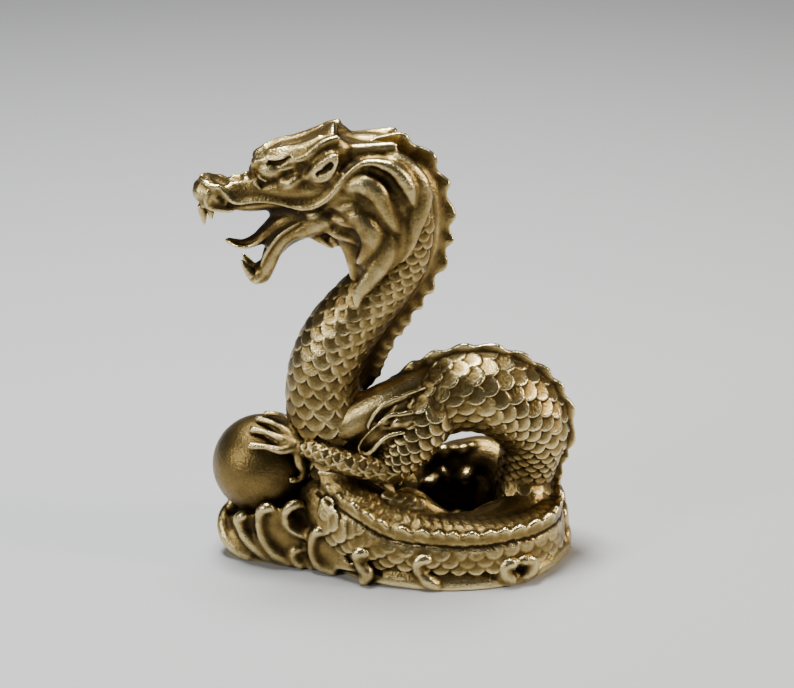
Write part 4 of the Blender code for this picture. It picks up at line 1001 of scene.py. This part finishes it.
for index in range(9):
    drop = Vector((4.6 + 1.5 * index, 7.9 + 0.5 * (index % 2), 10.6 + 2.6 * math.sin(0.35 + index * 0.33)))
    foam_forms.append(lump("spray", drop, (1.3, 1.0, 0.7 + 0.25 * (index % 3)), turn=25 - index * 11))
foam_forms += [rod("bed", BED, press=1.2, sides=8), rod("swell", SWELL, sides=8)]
base = fuse("wave_base", foam_forms, 0.17, smooth=4, close=0.5, flat=True)
print("lowest point of the base:", round(min(vertex.co.z for vertex in base.data.vertices) / MM, 3), "mm")
pieces = [head, neck, arch, coil, arms, pearl, base]

# %% [markdown]
# ## Where the brass is dark and where it is bright
#
# Old brass darkens with patina in its hollows and is rubbed bright on its edges, and the shade that falls into
# grooves and hollows is painted into the colour here too. Both can be measured on the mesh. Each vertex is compared
# with a smoothed copy of its own surface: where it lies below, it is in a groove, and where it stands above, it is on
# an edge. Deeper hollows are found by sending rays outwards and counting how many hit the dragon itself; that count
# becomes painted shade. The results are kept as attributes that the material reads.


# %% Measure hollows and edges
def relief(mesh, rounds):
    """How far each vertex stands above its surface after so many rounds of smoothing, in millimetres."""
    count = len(mesh.vertices)
    co = np.empty(count * 3)
    mesh.vertices.foreach_get("co", co)
    co = co.reshape(-1, 3) / MM
    normal = np.empty(count * 3)
    mesh.vertices.foreach_get("normal", normal)
    normal = normal.reshape(-1, 3)
    ends = np.empty(len(mesh.edges) * 2, int)
    mesh.edges.foreach_get("vertices", ends)
    start, end = ends.reshape(-1, 2).T
    valence = np.bincount(start, minlength=count) + np.bincount(end, minlength=count)
    smooth = co.copy()
    for turn in range(rounds):
        total = np.zeros_like(smooth)
        for axis in range(3):
            total[:, axis] = np.bincount(start, smooth[end, axis], count) + np.bincount(end, smooth[start, axis], count)
        smooth = 0.4 * smooth + 0.6 * total / np.maximum(valence, 1)[:, None]
    return ((co - smooth) * normal).sum(axis=1)


def shelter(mesh, tree, every=8, rays=8, reach=12.0):
    """How much of the sky over each vertex the dragon itself covers, from 0 to 1, sampled with rays and spread."""
    count = len(mesh.vertices)
    value, weight = np.zeros(count), np.zeros(count)
    for index in range(0, count, every):
        vertex = mesh.vertices[index]
        normal = vertex.normal
        start = vertex.co + normal * 0.15 * MM
        blocked = 0
        for ray in range(rays):
            way = normal + SPHERE[(index + ray * 7) % len(SPHERE)]
            if tree.ray_cast(start, way, reach * MM)[0] is not None:
                blocked += 1
        value[index], weight[index] = blocked / rays, 1.0
    ends = np.empty(len(mesh.edges) * 2, int)
    mesh.edges.foreach_get("vertices", ends)
    start, end = ends.reshape(-1, 2).T
    for turn in range(14):
        value = value + np.bincount(start, value[end], count) + np.bincount(end, value[start], count)
        weight = weight + np.bincount(start, weight[end], count) + np.bincount(end, weight[start], count)
        value, weight = value / np.maximum(weight.max(), 1), weight / np.maximum(weight.max(), 1)
    return value / np.maximum(weight, 1e-12)


# Inside the mouth and its corner, in the crevice between the pearl, the thumb and the foam and on the mound under the
# arch the spots are painted shade; on the mane, the cheek and the pearl they only darken the colour.
SPOTS_OF_SHADE_AND_DARKER_TONE = [  # centre, radius and strength of spots of painted shade and of darker tone
    ((-16.0, -1.5, 56.0), 3.6, 0.30), ((-19.5, -1.2, 53.6), 3.0, 0.26), ((-11.5, -3.0, 57.0), 2.4, 0.12),
    ((10.0, 10.5, 10.5), 8.0, 0.08), ((-21.2, 0.5, 14.2), 8.4, 0.03), ((-13.0, -5.0, 13.0), 3.0, 0.15),
    ((-3.0, -5.5, 56.0), 7.0, 0.11), ((-15.0, -4.0, 61.5), 4.5, 0.05),
]


def shade_and_darker_tone_at_spots(mesh):
    co = np.empty(len(mesh.vertices) * 3)
    mesh.vertices.foreach_get("co", co)
    co = co.reshape(-1, 3) / MM
    total = np.zeros(len(co))
    for centre, radius, strength in SPOTS_OF_SHADE_AND_DARKER_TONE:
        total += strength * np.exp(-(((co - centre) ** 2).sum(1) / radius**2) ** 2)
    return total


def keep_attribute(mesh, name, values):
    layer = mesh.attributes.new(name, "FLOAT", "POINT")
    layer.data.foreach_set("value", np.asarray(values, np.float32))


SPHERE = []
for index in range(64):
    level, turn = 1 - (index + 0.5) / 32, index * 2.399963
    ring = math.sqrt(1 - level * level)
    SPHERE.append(Vector((ring * math.cos(turn), ring * math.sin(turn), level)) * 0.98)
random.shuffle(SPHERE)
corners, faces = [], []
for piece in pieces:
    offset = len(corners)
    corners += [vertex.co for vertex in piece.data.vertices]
    faces += [[index + offset for index in face.vertices] for face in piece.data.polygons]
tree = BVHTree.FromPolygons(corners, faces)
for piece in pieces:
    # Painted shade: the share of sky that the dragon covers darkens the colour, and the spots are added to it.
    hidden = shelter(piece.data, tree, int(8 * fine))
    keep_attribute(piece.data, "painted_shade_and_spots", hidden * 0.34 + shade_and_darker_tone_at_spots(piece.data))
    print(piece.name, "shelter", [round(float(v), 2) for v in np.percentile(hidden, (5, 50, 95))])

# %% [markdown]
# The relief is kept in two widths. The fine one finds the edge of a scale and the groove beside it, and the broad
# one finds the valleys between the locks. The pearl has neither, so it gets one even value.

# %% Keep the relief
for piece in pieces:
    fine_relief = relief(piece.data, 8)
    broad_relief = relief(piece.data, 60)
    if piece == pearl:
        fine_relief, broad_relief = fine_relief * 0 - 0.012, broad_relief * 0
    keep_attribute(piece.data, "fine_relief", fine_relief)
    keep_attribute(piece.data, "broad_relief", broad_relief)
    spread = [round(float(v), 3) for v in np.percentile(fine_relief, (2, 20, 50, 80, 98))]
    print(piece.name, "fine relief", spread, "broad", [round(float(v), 3) for v in np.percentile(broad_relief, (2, 20, 50, 80, 98))])

# %% [markdown]
# ## Old brass
#
# The casting was darkened and then rubbed bright by hand, and the shade of its grooves and hollows is painted in too.
# One value, the tone, carries all of that: the relief lifts it on the worn edges and lowers it in the grooves, as
# patina and painted shade, the painted shade of the covered sky and the dark spots lower it in the hollows, and noise
# breaks it up into clouds and specks. The tone drives the colour, from brown-black to pale gold, and the gloss, which
# is best where the metal is rubbed.
# A fine bump gives the skin of a sand casting.

# %% Brass
brass = bpy.data.materials.new("old_brass")
brass.use_nodes = True
nodes, links = brass.node_tree.nodes, brass.node_tree.links
shader = nodes["Principled BSDF"]
shader.inputs["Metallic"].default_value = 1.0


def ramp(source, stops, name):
    made = nodes.new("ShaderNodeValToRGB")
    made.label = name
    elements = made.color_ramp.elements
    while len(elements) < len(stops):
        elements.new(0.5)
    for element, (position, colour) in zip(elements, stops):
        element.position = position
        element.color = (*colour, 1)
    links.new(source, made.inputs["Fac"])
    return made


def attribute(name):
    made = nodes.new("ShaderNodeAttribute")
    made.attribute_name = name
    return made.outputs["Fac"]


def maths(operation, first, second):
    made = nodes.new("ShaderNodeMath")
    made.operation = operation
    for socket, value in zip(made.inputs, (first, second)):
        if isinstance(value, (int, float)):
            socket.default_value = value
        else:
            links.new(value, socket)
    return made.outputs[0]


def noise(scale, detail):
    """Noise that sits in the metal, so many grains to the metre."""
    made = nodes.new("ShaderNodeTexNoise")
    made.inputs["Scale"].default_value = scale
    made.inputs["Detail"].default_value = detail
    links.new(place.outputs["Object"], made.inputs["Vector"])
    return made.outputs["Fac"]


place = nodes.new("ShaderNodeTexCoord")
# The fine and the broad relief lighten worn edges and darken grooves and the valleys between the locks, partly as
# patina and partly as painted shade.
height = maths("ADD", maths("MULTIPLY", attribute("fine_relief"), 5.0), maths("MULTIPLY", attribute("broad_relief"), 0.7))
clouds = maths("MULTIPLY", maths("SUBTRACT", noise(160, 5), 0.5), 0.45)
specks = maths("MULTIPLY", maths("SUBTRACT", noise(2600, 3), 0.5), 0.2)
# Painted shade: the covered sky and the spots are taken off the tone.
tone = maths("ADD", maths("SUBTRACT", maths("ADD", height, 0.5), attribute("painted_shade_and_spots")), maths("ADD", clouds, specks))
# The ramp gives the colour of the tone, painted shade included: brown-black low, pale gold high.
colour = ramp(tone, [(0.0, (0.03, 0.021, 0.01)), (0.28, (0.08, 0.05, 0.016)), (0.55, (0.25, 0.17, 0.055)), (1.0, (0.9, 0.74, 0.37))], "patina")
links.new(colour.outputs["Color"], shader.inputs["Base Color"])
rough = ramp(tone, [(0.0, (0.56, 0.56, 0.56)), (0.45, (0.35, 0.35, 0.35)), (1.0, (0.21, 0.21, 0.21))], "gloss")
links.new(rough.outputs["Color"], shader.inputs["Roughness"])
grain = nodes.new("ShaderNodeBump")
grain.inputs["Strength"].default_value = 0.6
grain.inputs["Distance"].default_value = 0.00016
links.new(maths("ADD", noise(3000, 4), maths("MULTIPLY", noise(800, 3), 0.7)), grain.inputs["Height"])
links.new(grain.outputs["Normal"], shader.inputs["Normal"])
for piece in pieces:
    piece.data.materials.clear()
    piece.data.materials.append(brass)

# %% [markdown]
# ## The floor, the light and the camera
#
# The piece stands on a plain pale floor under a large soft lamp. A weaker lamp fills from the left, and a warm
# one grazes the back from the right, as in the photograph. The camera is a long lens, twenty-two degrees above
# the level, because the far rim of the base shows just above the near one.

# %% Stage
bpy.data.objects.remove(scale_tile)
for piece in pieces:
    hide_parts("dragon")
    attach(piece, "root")

deselect()
bpy.ops.mesh.primitive_plane_add(size=6, location=(0, 0, 0))
floor = bpy.context.object
floor.name = "floor"
paper = bpy.data.materials.new("pale_floor")
paper.use_nodes = True
paper.node_tree.nodes["Principled BSDF"].inputs["Base Color"].default_value = (0.34, 0.335, 0.33, 1)
paper.node_tree.nodes["Principled BSDF"].inputs["Roughness"].default_value = 0.8
floor.data.materials.append(paper)

world = bpy.data.worlds.new("studio")
world.use_nodes = True
world.node_tree.nodes["Background"].inputs["Color"].default_value = (0.75, 0.78, 0.82, 1)
world.node_tree.nodes["Background"].inputs["Strength"].default_value = 0.07
bpy.context.scene.world = world


def softbox(name, place, size, power, colour=(1, 1, 1)):
    deselect()
    bpy.ops.object.light_add(type="AREA", location=place)
    lamp = bpy.context.object
    lamp.name = name
    lamp.data.shape = "RECTANGLE"
    lamp.data.size, lamp.data.size_y = size
    lamp.data.energy = power
    lamp.data.color = colour
    lamp.rotation_euler = (Vector((0, 0, 0.03)) - Vector(place)).to_track_quat("-Z", "Y").to_euler()
    return lamp


softbox("overhead", (-0.06, 0.06, 0.42), (0.16, 0.12), 5.8, (0.95, 0.98, 1))
softbox("left_fill", (-0.38, -0.22, 0.24), (0.07, 0.14), 1.3, (0.95, 0.98, 1))
softbox("right_rim", (0.34, -0.06, 0.20), (0.06, 0.12), 1.3, (1, 0.9, 0.76))

aim = Vector((0, 0, 0.0346))
view_angle = math.radians(22)
view_distance = 0.339
deselect()
bpy.ops.object.camera_add(location=aim + Vector((0, -math.cos(view_angle), math.sin(view_angle))) * view_distance)
camera = bpy.context.object
camera.rotation_euler = (math.radians(90) - view_angle, 0, 0)
camera.data.lens = 100
camera.data.sensor_width = 36
camera.data.clip_start = 0.01
bpy.context.scene.camera = camera
